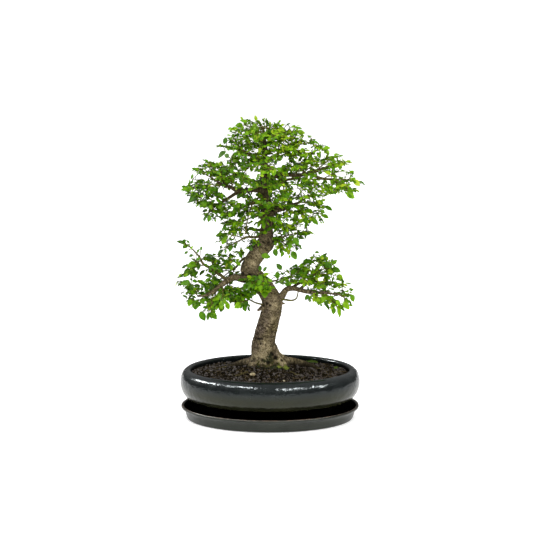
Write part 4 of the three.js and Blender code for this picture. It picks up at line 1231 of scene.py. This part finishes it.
def patch_weight(points, patches):
    """How much each point belongs to the patches, from 0 to 1."""
    weight = np.zeros(len(points))
    for x, y, z, radius, strength in patches:
        squared = ((points - (x, y, z)) ** 2).sum(1)
        weight = np.maximum(weight, strength * np.exp(-squared / radius ** 2))
    return smooth_step(0.08, 0.6, weight)


def relief(point, size, octaves=3):
    return noise.fractal(Vector(point) / size, 0.8, 2.1, octaves)


def mesh_hollows(mesh, points, normals):
    """How far each vertex lies below the middle of its neighbours, along its normal."""
    pairs = edge_ends(mesh)
    total, count = np.zeros_like(points), np.zeros(len(points))
    for a, b in ((0, 1), (1, 0)):
        np.add.at(total, pairs[:, a], points[pairs[:, b]])
        np.add.at(count, pairs[:, a], 1)
    return ((total / np.maximum(count, 1)[:, None] - points) * normals).sum(1)


# The wood's swellings, its lumps and its wrinkles: size in mm, octaves, depth in mm on thick wood
BARK_RELIEF = ((16, 2, 1.1), (6, 2, 0.35), (2.8, 3, 0.36))
# The bark's skin: sides of the trunk's tube and of the others, mm between rings, voxel size in mm and rounds
# of smoothing
SKIN = {"trunk_sides": 28, "sides": 14, "step": 2.0, "voxel": 1.05, "rounds": 12}


def make_trunk():
    """One skin over the trunk, roots, limbs and stubs, with the bark's lumps, wrinkles and marks."""
    builder = Builder()
    for number, path in enumerate(WOOD_PATHS):
        sides = SKIN["trunk_sides"] if number == 0 else SKIN["sides"]
        builder.add_rings(tube_rings(path, sides, SKIN["step"]))
    trunk = link("trunk_bark", builder.mesh("trunk_bark"), bark_material())
    remesh = trunk.modifiers.new("skin", "REMESH")
    remesh.mode = "VOXEL"
    remesh.voxel_size = SKIN["voxel"] * MM
    soften = trunk.modifiers.new("soften", "SMOOTH")
    soften.factor = 0.5
    soften.iterations = SKIN["rounds"]
    apply_modifiers(trunk)
    mesh = trunk.data
    points, normals = positions_of(mesh) / MM, normals_of(mesh)
    _, grain = WOOD.nearest(points)
    thick = np.clip(np.linalg.norm(grain[:, :2], axis=1) / 14, 0.12, 1.2)
    shift = np.zeros(len(points))
    for i, (point, fibre) in enumerate(zip(points, grain)):
        stretched = (fibre[0] * 0.7, fibre[1] * 0.7, fibre[2] * 1.15)
        swell, lumps, bark = (relief(at, size, octaves) * depth for at, (size, octaves, depth)
                              in zip((point, point, stretched), BARK_RELIEF))
        shift[i] = (swell + lumps + bark) * thick[i]
    # Painted shade, darkest in the dents of the marks
    painted_hollow_shade = np.zeros(len(points))
    for x, y, z, radius, depth, darkness in BARK_MARKS:
        middle = points[((points - (x, y, z)) ** 2).sum(1).argmin()]
        near = np.exp(-((points - middle) ** 2).sum(1) / radius ** 2)
        shift -= depth * near
        painted_hollow_shade = np.maximum(painted_hollow_shade, darkness * smooth_step(0.25, 0.8, near))
    points = points + normals * shift[:, None]
    mesh.vertices.foreach_set("co", (points * MM).astype(np.float32).ravel())
    mesh.update()
    # Painted shade in the concave hollows of the skin as well
    hollows = mesh_hollows(mesh, points, normals_of(mesh))
    painted_hollow_shade = np.maximum(painted_hollow_shade, 0.75 * smooth_step(0.05, 0.22, hollows))
    set_attribute(mesh, "hollow_shade", painted_hollow_shade)
    # Painted shade on the trunk inside the crown, from about 280 mm up
    set_attribute(mesh, "crown_shade", smooth_step(278, 322, points[:, 2]))
    set_attribute(mesh, "pale", patch_weight(points, PALE_PATCHES))
    set_attribute(mesh, "moss", patch_weight(points, MOSS_PATCHES))
    layer = mesh.attributes.new("grain", "FLOAT_VECTOR", "POINT")
    layer.data.foreach_set("vector", (grain * (0.5, 0.5, 1.6) * MM).astype(np.float32).ravel())
    shade_smooth(mesh)
    dress(trunk, "bark", "trunk")


# Soil, stone and moss

def mound_height(x, y):
    across = (x - SOIL_MOUND["x"]) / SOIL_MOUND["spread_x"]
    along = (y - SOIL_MOUND["y"]) / SOIL_MOUND["spread_y"]
    return SOIL_MOUND["height"] * math.exp(-across * across - along * along)


def soil_height(x, y):
    """The earth's surface with its own lumps."""
    lumps = relief((x, y, 0), 17, 3) * 1.3 + relief((x, y, 40), 4.5, 3) * 0.7
    return SOIL_EDGE_Z + mound_height(x, y) + lumps


def bed_point(angle, share):
    """A point of the bed at a share of the way from its middle to its edge."""
    radius = (POT_HALF_WIDTH - SOIL_EDGE_INSET) * share
    narrowing = OVAL_NARROWING * min(1.0, radius / OVAL_CORE)
    return radius * math.cos(angle), (radius - narrowing) * math.sin(angle)


def make_soil():
    half = POT_HALF_WIDTH
    floor = POT_FLOOR_Z + POT_FLOOR_THICKNESS + 1.6
    sides, circles = 240, 60
    outside = ((half - 24.2, floor), (half - 12.35, 44.05), (half - 9.35, 58),
               (half - 16.2, SOIL_EDGE_Z - 2.5))
    rings = [oval_ring(radius, z, sides) for radius, z in outside]
    for i in range(circles):
        share = 1 - i / circles
        ring = oval_ring((half - SOIL_EDGE_INSET) * share, SOIL_EDGE_Z, sides)
        ring[:, 2] = [soil_height(x, y) for x, y, _ in ring]
        rings.append(ring)
    faces = lathe_faces(len(rings), sides) + end_caps(len(rings), sides)
    mesh = new_mesh("soil_bed", np.vstack(rings), faces)
    set_attribute(mesh, "tint", np.zeros(len(mesh.vertices)))
    dress(link("soil_bed", mesh, soil_material()), "soil", "soil")


# Where lighter grit gathers, and how wide: x, y, spread
GRIT_PATCHES = [(16, -27, 14), (47, -14, 20), (80, -10, 22), (-60, 10, 24), (-20, -60, 26), (30, 60, 30)]
# How many crumbs, the smallest half size in mm and how much larger the largest is
GRIT = {"count": 3300, "smallest": 0.4, "larger": 1.9}


def chip_shape():
    """The corners and faces of a rough lump, an icosahedron."""
    golden = (1 + math.sqrt(5)) / 2
    corners = np.array([(-1, golden, 0), (1, golden, 0), (-1, -golden, 0), (1, -golden, 0),
                        (0, -1, golden), (0, 1, golden), (0, -1, -golden), (0, 1, -golden),
                        (golden, 0, -1), (golden, 0, 1), (-golden, 0, -1), (-golden, 0, 1)]) / 1.9
    faces = [(0, 11, 5), (0, 5, 1), (0, 1, 7), (0, 7, 10), (0, 10, 11), (1, 5, 9), (5, 11, 4), (11, 10, 2),
             (10, 7, 6), (7, 1, 8), (3, 9, 4), (3, 4, 2), (3, 2, 6), (3, 6, 8), (3, 8, 9), (4, 9, 5),
             (2, 4, 11), (6, 2, 10), (8, 6, 7), (9, 8, 1)]
    return corners, faces


def make_grit():
    """Loose crumbs, bits of bark and grit on the soil, each a small lump of its own."""
    draw = random.Random(SEEDS["grit"])
    corners, shape = chip_shape()
    spots = []
    while len(spots) < GRIT["count"]:
        angle, share = between(draw, 0, 2 * math.pi), math.sqrt(between(draw, 0, 0.985))
        x, y = bed_point(angle, share)
        in_patch = max(math.exp(-((x - px) ** 2 + (y - py) ** 2) / spread ** 2)
                       for px, py, spread in GRIT_PATCHES)
        spots.append((x, y, soil_height(x, y), in_patch))
    away, _ = WOOD.nearest(np.array(spots)[:, :3])
    points, faces, tints = [], [], []
    for (x, y, z, in_patch), gap in zip(spots, away):
        size = GRIT["smallest"] + GRIT["larger"] * draw.random() ** 5
        length = 1 + 1.4 * draw.random() ** 3
        turn = Quaternion((draw.gauss(0, 1), draw.gauss(0, 1), draw.gauss(0, 1), draw.gauss(0, 1)))
        jitter = [between(draw, 0.75, 1.25) for _ in corners]
        tint = min(1.0, 0.06 + 0.72 * draw.random() ** 1.8 + 0.3 * in_patch * draw.random())
        if gap < size * 0.6:
            continue
        rotation = np.array(turn.normalized().to_matrix())
        lump = corners * np.array(jitter)[:, None] * (size * length, size, size * 0.55)
        start = len(points)
        points += ((rotation @ lump.T).T + (x, y, z + size * 0.02)).tolist()
        faces += [tuple(start + i for i in face) for face in shape]
        tints += [tint] * len(corners)
    mesh = new_mesh("soil_grit", points, faces)
    set_attribute(mesh, "tint", tints)
    dress(link("soil_grit", mesh, bpy.data.materials["soil"], smooth=False), "soil")


def make_stone():
    """The pale stone, knobbly and half sunk, and a tiny white pebble near the rim."""
    lumps = {"pale_stone": (STONE["x"], STONE["y"], STONE["radius"] * 0.82), "pebble": (21.7, -56, 1.6)}
    for name, (x, y, radius) in lumps.items():
        sides, rows = 36, 20
        rings = []
        for i in range(rows + 1):
            polar = math.pi * (0.02 + 0.96 * i / rows)
            ring = []
            for j in range(sides):
                angle = 2 * math.pi * j / sides
                around = math.sin(polar)
                way = Vector((around * math.cos(angle), around * math.sin(angle), -math.cos(polar)))
                knobs = noise.fractal(way * 1.3 + Vector((SEEDS[name], 0, 0)), 0.8, 2.1, 4)
                size = radius * (1 + 0.22 * knobs)
                ring.append((x + way.x * size * 1.15, y + way.y * size,
                             SOIL_EDGE_Z + mound_height(x, y) + radius * 0.4 + way.z * size * 0.7))
            rings.append(ring)
        builder = Builder()
        builder.add_rings(rings)
        obj = link(name, builder.mesh(name), stone_material() if name == "pale_stone" else
                   bpy.data.materials["pale_stone"])
        dress(obj, "pale_stone", *(["stone"] if name == "pale_stone" else []))


# Heights in mm at which the wood under a blade of moss is looked for: first, last, step
SCAN_LEVELS = (112, 66, -0.8)
# A blade's three feet stand this far round its middle, which is sunk this deep
BLADE = {"radius": 0.42, "sunk": 0.4}
# Moss: x, y, spread, blades, blade length, tint
MOSS_CLUMPS = [
    (-5, -4, 6, 260, 1.5, 0.08), (4, -4, 5, 220, 1.6, 0.12), (10, -5, 4, 120, 1.5, 0.1),
    (-17, 1, 5, 120, 1.5, 0.12), (14, -2, 2.8, 300, 1.8, 0.86), (25, -3, 3.4, 420, 2.2, 0.86),
    (69, 82, 8, 520, 3.8, 0.62), (104, 32, 2.2, 80, 3.4, 0.74), (-4, 48, 14, 340, 2.2, 0.3),
    (30, 38, 10, 180, 2.2, 0.2),
]


def make_moss():
    """Short pointed blades on the roots and the earth, in clumps."""
    draw = random.Random(SEEDS["moss"])
    spots = []
    for x, y, spread, count, length, tint in MOSS_CLUMPS:
        for _ in range(count):
            px, py = x + draw.gauss(0, spread / 2), y + draw.gauss(0, spread / 2)
            spots.append((px, py, length * between(draw, 0.6, 1.3), tint + between(draw, -0.12, 0.12)))
    heights = surface_heights([(x, y) for x, y, _, _ in spots])
    points, faces, tints = [], [], []
    for (x, y, length, tint), z in zip(spots, heights):
        lean = Vector((draw.gauss(0, 0.35), draw.gauss(0, 0.35), 1)).normalized()
        foot = Vector((x, y, z - BLADE["sunk"]))
        angle = between(draw, 0, 2 * math.pi)
        start = len(points)
        for j in range(3):
            turn = angle + j * 2 * math.pi / 3
            points.append(tuple(foot + Vector((math.cos(turn), math.sin(turn), 0)) * BLADE["radius"]))
        points.append(tuple(foot + lean * length))
        faces += [(start, start + 2, start + 1), (start, start + 1, start + 3),
                  (start + 1, start + 2, start + 3), (start + 2, start, start + 3)]
        tints += [tint - 0.15] * 3 + [tint + 0.1]
    mesh = new_mesh("moss_blades", points, faces)
    set_attribute(mesh, "tint", tints)
    dress(link("moss_blades", mesh, moss_material(), smooth=False), "soil")


def surface_heights(spots):
    """The top of the wood or of the earth, whichever is higher; wood above the first level is left out."""
    levels = np.arange(*SCAN_LEVELS)
    heights = []
    for x, y in spots:
        column = np.column_stack([np.full(len(levels), x), np.full(len(levels), y), levels])
        away, _ = WOOD_NEAR_SOIL.nearest(column)
        inside = np.nonzero(away < 0)[0]
        wood = levels[inside[0]] if len(inside) and inside[0] > 0 else 0
        heights.append(max(wood, soil_height(x, y)))
    return heights


WOOD_NEAR_SOIL = Wood([TRUNK[:4], *ROOTS], 4.0)

# Thin rootlets that show at the surface: start x, y, then end x, y, radius
ROOTLETS = [
    ((40, 22), (62, 40), 1.3), ((52, 44), (70, 58), 1.1), ((-40, 20), (-66, 44), 1.2),
    ((30, -16), (52, -28), 1.1), ((-36, -18), (-56, -30), 1.2), ((-60, 22), (-88, 10), 1.0),
    ((66, 22), (92, 12), 1.1), ((-8, 52), (-16, 74), 1.2),
]


# Into how many stretches a rootlet bends, and how far it wanders from its line in mm
ROOTLET_BENDS = 6
ROOTLET_WANDER = 2


def make_rootlets():
    draw = random.Random(SEEDS["rootlets"])
    builder = Builder()
    for (ax, ay), (bx, by), radius in ROOTLETS:
        path = []
        for i in range(ROOTLET_BENDS + 1):
            share = i / ROOTLET_BENDS
            x = ax + (bx - ax) * share + between(draw, -ROOTLET_WANDER, ROOTLET_WANDER)
            y = ay + (by - ay) * share + between(draw, -ROOTLET_WANDER, ROOTLET_WANDER)
            z = SOIL_EDGE_Z + mound_height(x, y) + radius * between(draw, -0.2, 0.7)
            path.append((x, y, z, radius * (1.1 - 0.7 * share)))
        builder.add_rings(tube_rings(path, 8, 1.6), lambda place: 0.0)
    mesh = builder.mesh("rootlets", "young")
    dress(link("rootlets", mesh, bpy.data.materials["twig_bark"]), "bark")


# Foliage

LEAF_WIDTH_RATIO = 0.64
STALK_SHARE = 0.1
EDGE_TWIG_TIP = 0.45
# The smallest leaf in mm, the longest on a filling and on a side twig against the usual leaf there, and how
# much of the part's own leaf length is shown at the end and at the sides of its sprays
LEAF_RANGE = {"smallest": 4.8, "inner": 0.66, "side": 0.74, "own_end": 0.86, "own_side": 0.72}

# Thin leafless twigs, each as x, y, z and radius along it
THIN_TWIGS = [
    [(10, 3, 188, 2.0), (21, -2, 189, 1.8), (33, -5, 188, 1.5), (41, -8, 192, 1.2), (44, -8, 203, 1.0)],
    [(-6, -2, 392, 1.5), (12, -18, 396, 1.3), (20, -26, 372, 1.1), (26, -28, 352, 0.9)],
    [(-9, -4, 352, 1.6), (-24, -22, 348, 1.3), (-34, -28, 322, 1.1), (-38, -26, 296, 0.9)],
]

# Large leaves that stand out at the edges: x, y, z of the foot, direction from the front in degrees (90 is
# up), length, and how squarely the blade faces the front
EDGE_LEAVES = [
    (-114, -40, 196, 265, 15.6, 1), (-108, -40, 177, 300, 15.6, 1), (-91, -38, 177, 305, 14.8, 1),
    (-74, -34, 188, 262, 12.6, 1), (-67, -30, 190, 285, 11.9, 1), (-124, -30, 222, 190, 14.4, 0.7),
    (-119, -34, 219, 235, 12.9, 0.9), (-134, -12, 228, 192, 14, 0.2), (-122, -36, 196, 250, 11.7, 0.8),
    (-51, -26, 200, 290, 11.4, 0.9), (-35, -24, 203, 240, 9.4, 0.8), (-13, -24, 263, 350, 14.1, 0.8),
    (7, -24, 273, 285, 11.9, 1), (31, -26, 283, 270, 10.4, 1), (37, -24, 291, 300, 13.7, 0.9),
    (48, -16, 294, 10, 14.4, 0.5), (12, -24, 237, 265, 11.9, 1), (18, -20, 240, 130, 11.7, 0.8),
    (79, -34, 199, 250, 13.4, 1), (80, -36, 200, 300, 11.1, 1), (114, -34, 192, 305, 14.9, 1),
    (126, -22, 201, 290, 12.2, 0.9), (99, -36, 183, 265, 10.7, 0.9), (104, -34, 195, 285, 10.7, 0.9),
    (84, -4, 246, 340, 13.7, 0.7), (67, -14, 250, 170, 15.8, 0.4), (78, 4, 256, 345, 12.9, 0.7),
    (118, -24, 360, 330, 14.4, 0.9), (117, -20, 363, 5, 13.5, 0.5), (129, -14, 379, 320, 13.2, 0.8),
    (54, -34, 327, 275, 13.3, 1), (38, -36, 330, 290, 11.3, 0.9), (73, -20, 348, 335, 11.2, 0.7),
    (81, -12, 324, 340, 10.7, 0.6), (-122, -22, 366, 175, 15, 0.4), (-114, -28, 356, 220, 12.1, 0.9),
    (-97, -30, 346, 200, 13.2, 0.8), (-92, -26, 326, 250, 10.9, 0.8), (-68, -24, 425, 215, 15.4, 0.6),
    (-67, -16, 445, 250, 10.4, 0.7), (-66, -24, 297, 200, 14.2, 0.5), (-49, -12, 459, 185, 12.4, 0.4),
    (38, -10, 460, 355, 11.5, 0.3), (65, -12, 439, 345, 11.2, 0.4), (82, -8, 427, 10, 11, 0.5),
    (-35, -14, 469, 160, 11.2, 0.5), (-21, -8, 470, 100, 9.1, 0.5), (-22, -46, 232, 200, 10.5, 0.8),
    (-14, -50, 229, 240, 9.5, 0.9), (-17, -48, 236, 310, 10, 0.7), (-10, -46, 236, 20, 9, 0.6),
    (-19, -48, 229, 130, 9.5, 0.6), (-24, -46, 222, 250, 9, 0.9), (-7, -46, 222, 285, 9.5, 0.9),
    (-10, -42, 241, 60, 9, 0.5), (-14, -50, 221, 265, 9, 0.8), (-27, -44, 228, 160, 8.5, 0.5),
    (-4, -44, 229, 340, 8.5, 0.7), (-15, -48, 243, 90, 8.5, 0.4), (-131, -20, 275, 120, 7, 0.4),
    (-127, -20, 268, 210, 6.5, 0.6), (-122, -20, 271, 70, 7, 0.4), (-119, -20, 263, 200, 7, 0.7),
    (-113, -20, 266, 60, 7.5, 0.5), (-109, -20, 259, 230, 7, 0.7), (-107, -20, 270, 80, 6.5, 0.4),
    (-101, -20, 262, 30, 7, 0.5),
]


def leaf_rows(teeth, notch):
    """Each row of a leaf from its stalk to its tip: place along, half width, half thickness in mm."""
    rows = [(-STALK_SHARE, 0.02, 0.3), (0.0, 0.026, 0.28)]

    def half_width(t):
        return 0.5 * math.sin(math.pi * t ** 0.84) ** 0.62 * (1 - 0.12 * max(0, (t - 0.7) / 0.3))
    for k in range(teeth):
        t = 0.06 + 0.87 * k / (teeth - 1)
        thick = 0.16 - 0.1 * t
        rows.append((t, half_width(t), thick))
        if notch:
            rows.append((t + 0.032, half_width(t + 0.032) * (1 - notch), thick))
    rows.append((1.02, 0.006, 0.05))
    return rows


class LeafShape:
    """One leaf's points in its own terms, four to a row: left edge, midrib top, right edge, underside."""

    def __init__(self, teeth, notch):
        rows = leaf_rows(teeth, notch)
        self.along, self.across, self.side, self.is_top = [], [], [], []
        for along, half, thick in rows:
            for across, side, top in ((half, 0, 0.5), (0, thick, 1.0), (-half, 0, 0.5), (0, -thick, 0.0)):
                self.along.append(along)
                self.across.append(across)
                self.side.append(side)
                self.is_top.append(top)
        self.along, self.across = np.array(self.along), np.array(self.across)
        self.side, self.is_top = np.array(self.side), np.array(self.is_top)
        self.faces = []
        for i in range(len(rows) - 1):
            for j in range(4):
                k = (j + 1) % 4
                self.faces.append((4 * i + j, 4 * (i + 1) + j, 4 * (i + 1) + k, 4 * i + k))
        last = 4 * (len(rows) - 1)
        self.faces += [(0, 1, 2, 3), (last + 3, last + 2, last + 1, last)]
        widest = max(half for _, half, _ in rows)
        self.spread = self.across / widest


# Leaves up to a length in mm have the plain edge, longer ones the toothed one
SMALL_LEAF = 8.5
LEAF_SHAPES = (LeafShape(5, 0.0), LeafShape(5, 0.07))


class Leaves:
    """Gathers leaves and makes them one mesh."""

    def __init__(self):
        self.rows = []

    def add(self, root, heading, normal, length, draw):
        left = normal.cross(heading).normalized()
        self.rows.append((*root, *heading, *left, *heading.cross(left), length, between(draw, 0.08, 0.26),
                          between(draw, 0.04, 0.24), between(draw, -0.3, 0.3), between(draw, 0, 6.28),
                          leaf_tint_and_light(root, length, draw), between(draw, 1.0, 1.22)))

    def make(self, name, material):
        points, faces, values = [], [], {"along": [], "across": [], "upper": [], "tint": []}
        start = 0
        is_large = np.array([row[12] > SMALL_LEAF for row in self.rows])
        for wanted, shape in zip((False, True), LEAF_SHAPES):
            rows = np.array(self.rows)[is_large == wanted]
            size = len(shape.along)
            points.append(bent_leaves(rows, shape))
            first = start + size * np.arange(len(rows))[:, None, None]
            faces += (np.array(shape.faces)[None] + first).reshape(-1, 4).tolist()
            for key, value in zip(values, (shape.along, shape.spread, shape.is_top)):
                values[key].append(np.tile(value, len(rows)))
            values["tint"].append(np.repeat(rows[:, 17], size))
            start += size * len(rows)
        mesh = new_mesh(name, np.vstack(points), faces)
        for key, parts in values.items():
            set_attribute(mesh, key, np.concatenate(parts))
        leaf = link(name, mesh, material)
        sharpen_rims(mesh)
        return leaf


def bent_leaves(rows, shape):
    """The points of each row's leaf: folded along its midrib, drooping, twisted and waved at the edge."""
    root, heading, left, normal = (rows[:, None, i:i + 3] for i in (0, 3, 6, 9))
    length, fold, droop, twist, phase, _, wide = (rows[:, None, None, i] for i in range(12, 19))
    along, across, side = (values[None, :, None] for values in (shape.along, shape.across, shape.side))
    width = length * LEAF_WIDTH_RATIO * wide
    turned_left = left * np.cos(twist * along) + normal * np.sin(twist * along)
    turned_up = normal * np.cos(twist * along) - left * np.sin(twist * along)
    wave = 0.025 * length * np.sin(phase + 9 * along) * np.abs(across) * 2
    rise = fold * np.abs(across) * width - droop * along * np.abs(along) * length + wave
    points = root + heading * along * length + turned_left * across * width + turned_up * (rise + side)
    return points.reshape(-1, 3)


def sharpen_rims(mesh):
    """Marks the edges along a leaf's two rims as sharp, so that each face is shaded flat out to the rim."""
    pairs = edge_ends(mesh) % 4
    is_rim = (pairs[:, 0] == pairs[:, 1]) & (pairs[:, 0] % 2 == 0)
    layer = mesh.attributes.new("sharp_edge", "BOOLEAN", "EDGE")
    layer.data.foreach_set("value", is_rim)


def leaf_tint_and_light(point, length, draw):
    """Each leaf's tint, partly painted light: lighter and yellower in front, on top, further out and to the
    right, where the lamps fall, and low down, to make up for the crown's shade; deeper green behind, where
    shade falls, and when large; varied at random.
    """
    height = (point[2] - 180) / 290
    outside = math.hypot(point[0] / 130, point[1] / 90)
    tint = 0.44 + 0.25 * height ** 4 - 0.12 * height + 0.05 * outside + 0.13 * point[0] / 130
    tint -= 0.001 * point[1] + 0.014 * (length - 7)
    return min(1, max(0, tint + draw.gauss(0, 0.2)))


def leaf_normal(point, heading, draw):
    """Which way a blade faces: up and a little outward from the tree, each leaf differently."""
    outward = Vector((point.x - TREE_AXIS[0], point.y - TREE_AXIS[1], 0)).normalized()
    wanted = outward * 0.5 + UP * 0.85 + Vector((draw.gauss(0, 0.4), draw.gauss(0, 0.4), draw.gauss(0, 0.2)))
    return left_of(heading, wanted)


# How a leaf leaves a side twig: shares of its heading sideways, along the twig and up; the power that makes
# most leaves small; and how far it keeps from a gap, against its length
LEAF_POSE = {"sideways": 0.9, "along": (0.4, 0.9), "up": (-0.55, 0.25), "smallness": 1.7, "gap_margin": 0.15}


def leafy_twig(twig, sizes, count, first, draw, wood, leaves, steps):
    """A twig with leaves in two ranks and one at its end, most of them small."""
    wood.add_rings(curve_rings(twig.curve, twig.radius, 5, steps), lambda place: 0.1 + 0.8 * place)
    sign = 1 if draw.random() < 0.5 else -1
    for i in range(count + 1):
        place = 1.0 if i == count else first + (1 - first) * (i + 0.5) / count
        point, along, left, radius = twig.frame(place)
        sideways = 0.0 if i == count else sign * LEAF_POSE["sideways"]
        heading = along * between(draw, *LEAF_POSE["along"]) + left * sideways
        heading = heading + UP * between(draw, *LEAF_POSE["up"])
        heading.normalize()
        root = point + left * sideways * radius
        length = sizes[0] + (sizes[1] - sizes[0]) * draw.random() ** LEAF_POSE["smallness"]
        if not in_gap(root + heading * length / 2, length * LEAF_POSE["gap_margin"]):
            leaves.add(root, heading, leaf_normal(point, heading, draw), length, draw)
        sign = -sign


def dress_spray(spray, draw, wood, leaves):
    """Grows the part's spray on: its own leaves, more along the twig and side twigs in two ranks."""
    main, own_leaves = spray
    length = (main.curve.end - main.curve.start).length
    wood.add_rings(curve_rings(main.curve, main.radius, 6, 8), lambda place: 0.1 + 0.6 * place)
    for number, (root, heading, wanted_left, roll, size) in enumerate(own_leaves):
        left = Quaternion(heading, roll) @ left_of(heading, wanted_left)
        shown = LEAF_RANGE["own_end" if number == 0 else "own_side"]
        leaves.add(root, heading, heading.cross(left), size * shown, draw)
    count = min(7, max(3, round(length / 7.5)))
    sign = 1 if draw.random() < 0.5 else -1
    sizes = (LEAF_RANGE["smallest"], LEAF_RANGE["side"] * usual_leaf(main.curve.end.z))
    for i in range(count):
        place = 0.2 + 0.74 * (i + between(draw, 0.25, 0.75)) / count
        point, along, left, radius = main.frame(place)
        sideways = along * between(draw, 0.4, 0.75) + left * (sign * 0.75) + UP * between(draw, -0.25, 0.35)
        reach = (7 + 0.2 * length * between(draw, 0.5, 1.1)) * (1.1 - 0.45 * place)
        start = point + left * sign * radius * 0.5
        end = start + sideways.normalized() * reach
        twig = Twig(BentLine(start, end, between(draw, -0.04, 0.12), between(draw, -0.12, 0.12), left),
                    along * -sign, 0.62, 0.42)
        leafy_twig(twig, sizes, max(2, round(reach / 4.2)), 0.2, draw, wood, leaves, 3)
        sign = -sign
    inner = Twig(main.curve, main.wanted_left, 0.5, 0.3)
    leafy_twig(inner, sizes, max(3, round(length / 9)), 0.3, draw, wood, leaves, 3)


def grow_inner_twig(twig, reach, draw, wood, leaves):
    """A leafy twig with two short ones at its side."""
    sizes = (LEAF_RANGE["smallest"], LEAF_RANGE["inner"] * usual_leaf(twig.curve.end.z))
    count, first = min(6, max(3, round(reach / 4.5))), max(0.25, 1 - 24 / reach)
    leafy_twig(twig, sizes, count, first, draw, wood, leaves, 4)
    for _ in range(2):
        point, along, left, _ = twig.frame(between(draw, 0.5, 0.95))
        sign = 1 if draw.random() < 0.5 else -1
        way = along * between(draw, 0.3, 0.8) + left * sign * 0.8 + UP * between(draw, -0.4, 0.5)
        end = point + way.normalized() * between(draw, 6, 11)
        short = Twig(BentLine(point, end, 0.05, 0.0, left), along * -sign, 0.45, 0.32)
        leafy_twig(short, sizes, 2, 0.3, draw, wood, leaves, 2)


def make_foliage():
    leaf, bark = leaf_material(), bpy.data.materials["twig_bark"]
    plans = plan_foliage()
    pieces = {}
    for number, (node, path, sprays) in enumerate(plans):
        draw = random.Random(SEEDS["leafy_nodes"] + number)
        wood, leaves = pieces[node] = Builder(), Leaves()
        if path:
            wood.add_rings(tube_rings(path, 9, 2.4), lambda place: 0.3 * place)
        for spray in sprays:
            dress_spray(spray, draw, wood, leaves)
    draw = random.Random(SEEDS["filling"])
    hosts = Hosts()
    for owner, twig, reach in plan_inner_twigs(plans, hosts):
        grow_inner_twig(twig, reach, draw, *pieces.setdefault(owner, (Builder(), Leaves())))
    grow_edge_leaves(hosts, pieces)
    nodes = {node for node, _, _ in plans}
    for name, (wood, leaves) in pieces.items():
        stood_for = [name] if name in nodes else []
        dress(link(f"{name}_twigs", wood.mesh(f"{name}_twigs", "young"), bark), "bark", *stood_for)
        dress(leaves.make(f"{name}_leaves", leaf), "leaf", *stood_for)
    bare = Builder()
    for path in THIN_TWIGS:
        bare.add_rings(tube_rings(path, 7, 2.4), lambda place: 0.2)
    dress(link("thin_twigs", bare.mesh("thin_twigs", "young"), bark), "bark")


def grow_edge_leaves(hosts, pieces):
    """One large leaf after another, each at the end of a thin twig."""
    draw = random.Random(SEEDS["edge_leaves"])
    for x, y, z, turn, length, flat in EDGE_LEAVES:
        foot = Vector((x, y, z))
        owner, twig, _ = grown_twig(foot, hosts, draw)
        wood, leaves = pieces[owner or "inner_crown"]
        twig.tip = EDGE_TWIG_TIP
        wood.add_rings(curve_rings(twig.curve, twig.radius, 5, 5), lambda place: 0.1 + 0.8 * place)
        angle = math.radians(turn)
        heading = Vector((math.cos(angle), -0.15, math.sin(angle))).normalized()
        wanted = Vector((draw.gauss(0, 0.15), -flat, 1.25 - flat))
        leaves.add(foot, heading, left_of(heading, wanted), length, draw)


make_studio()
make_saucer()
make_pot()
make_nets()
make_soil()
make_grit()
make_stone()
make_trunk()
twig_material()
make_rootlets()
make_moss()
make_foliage()
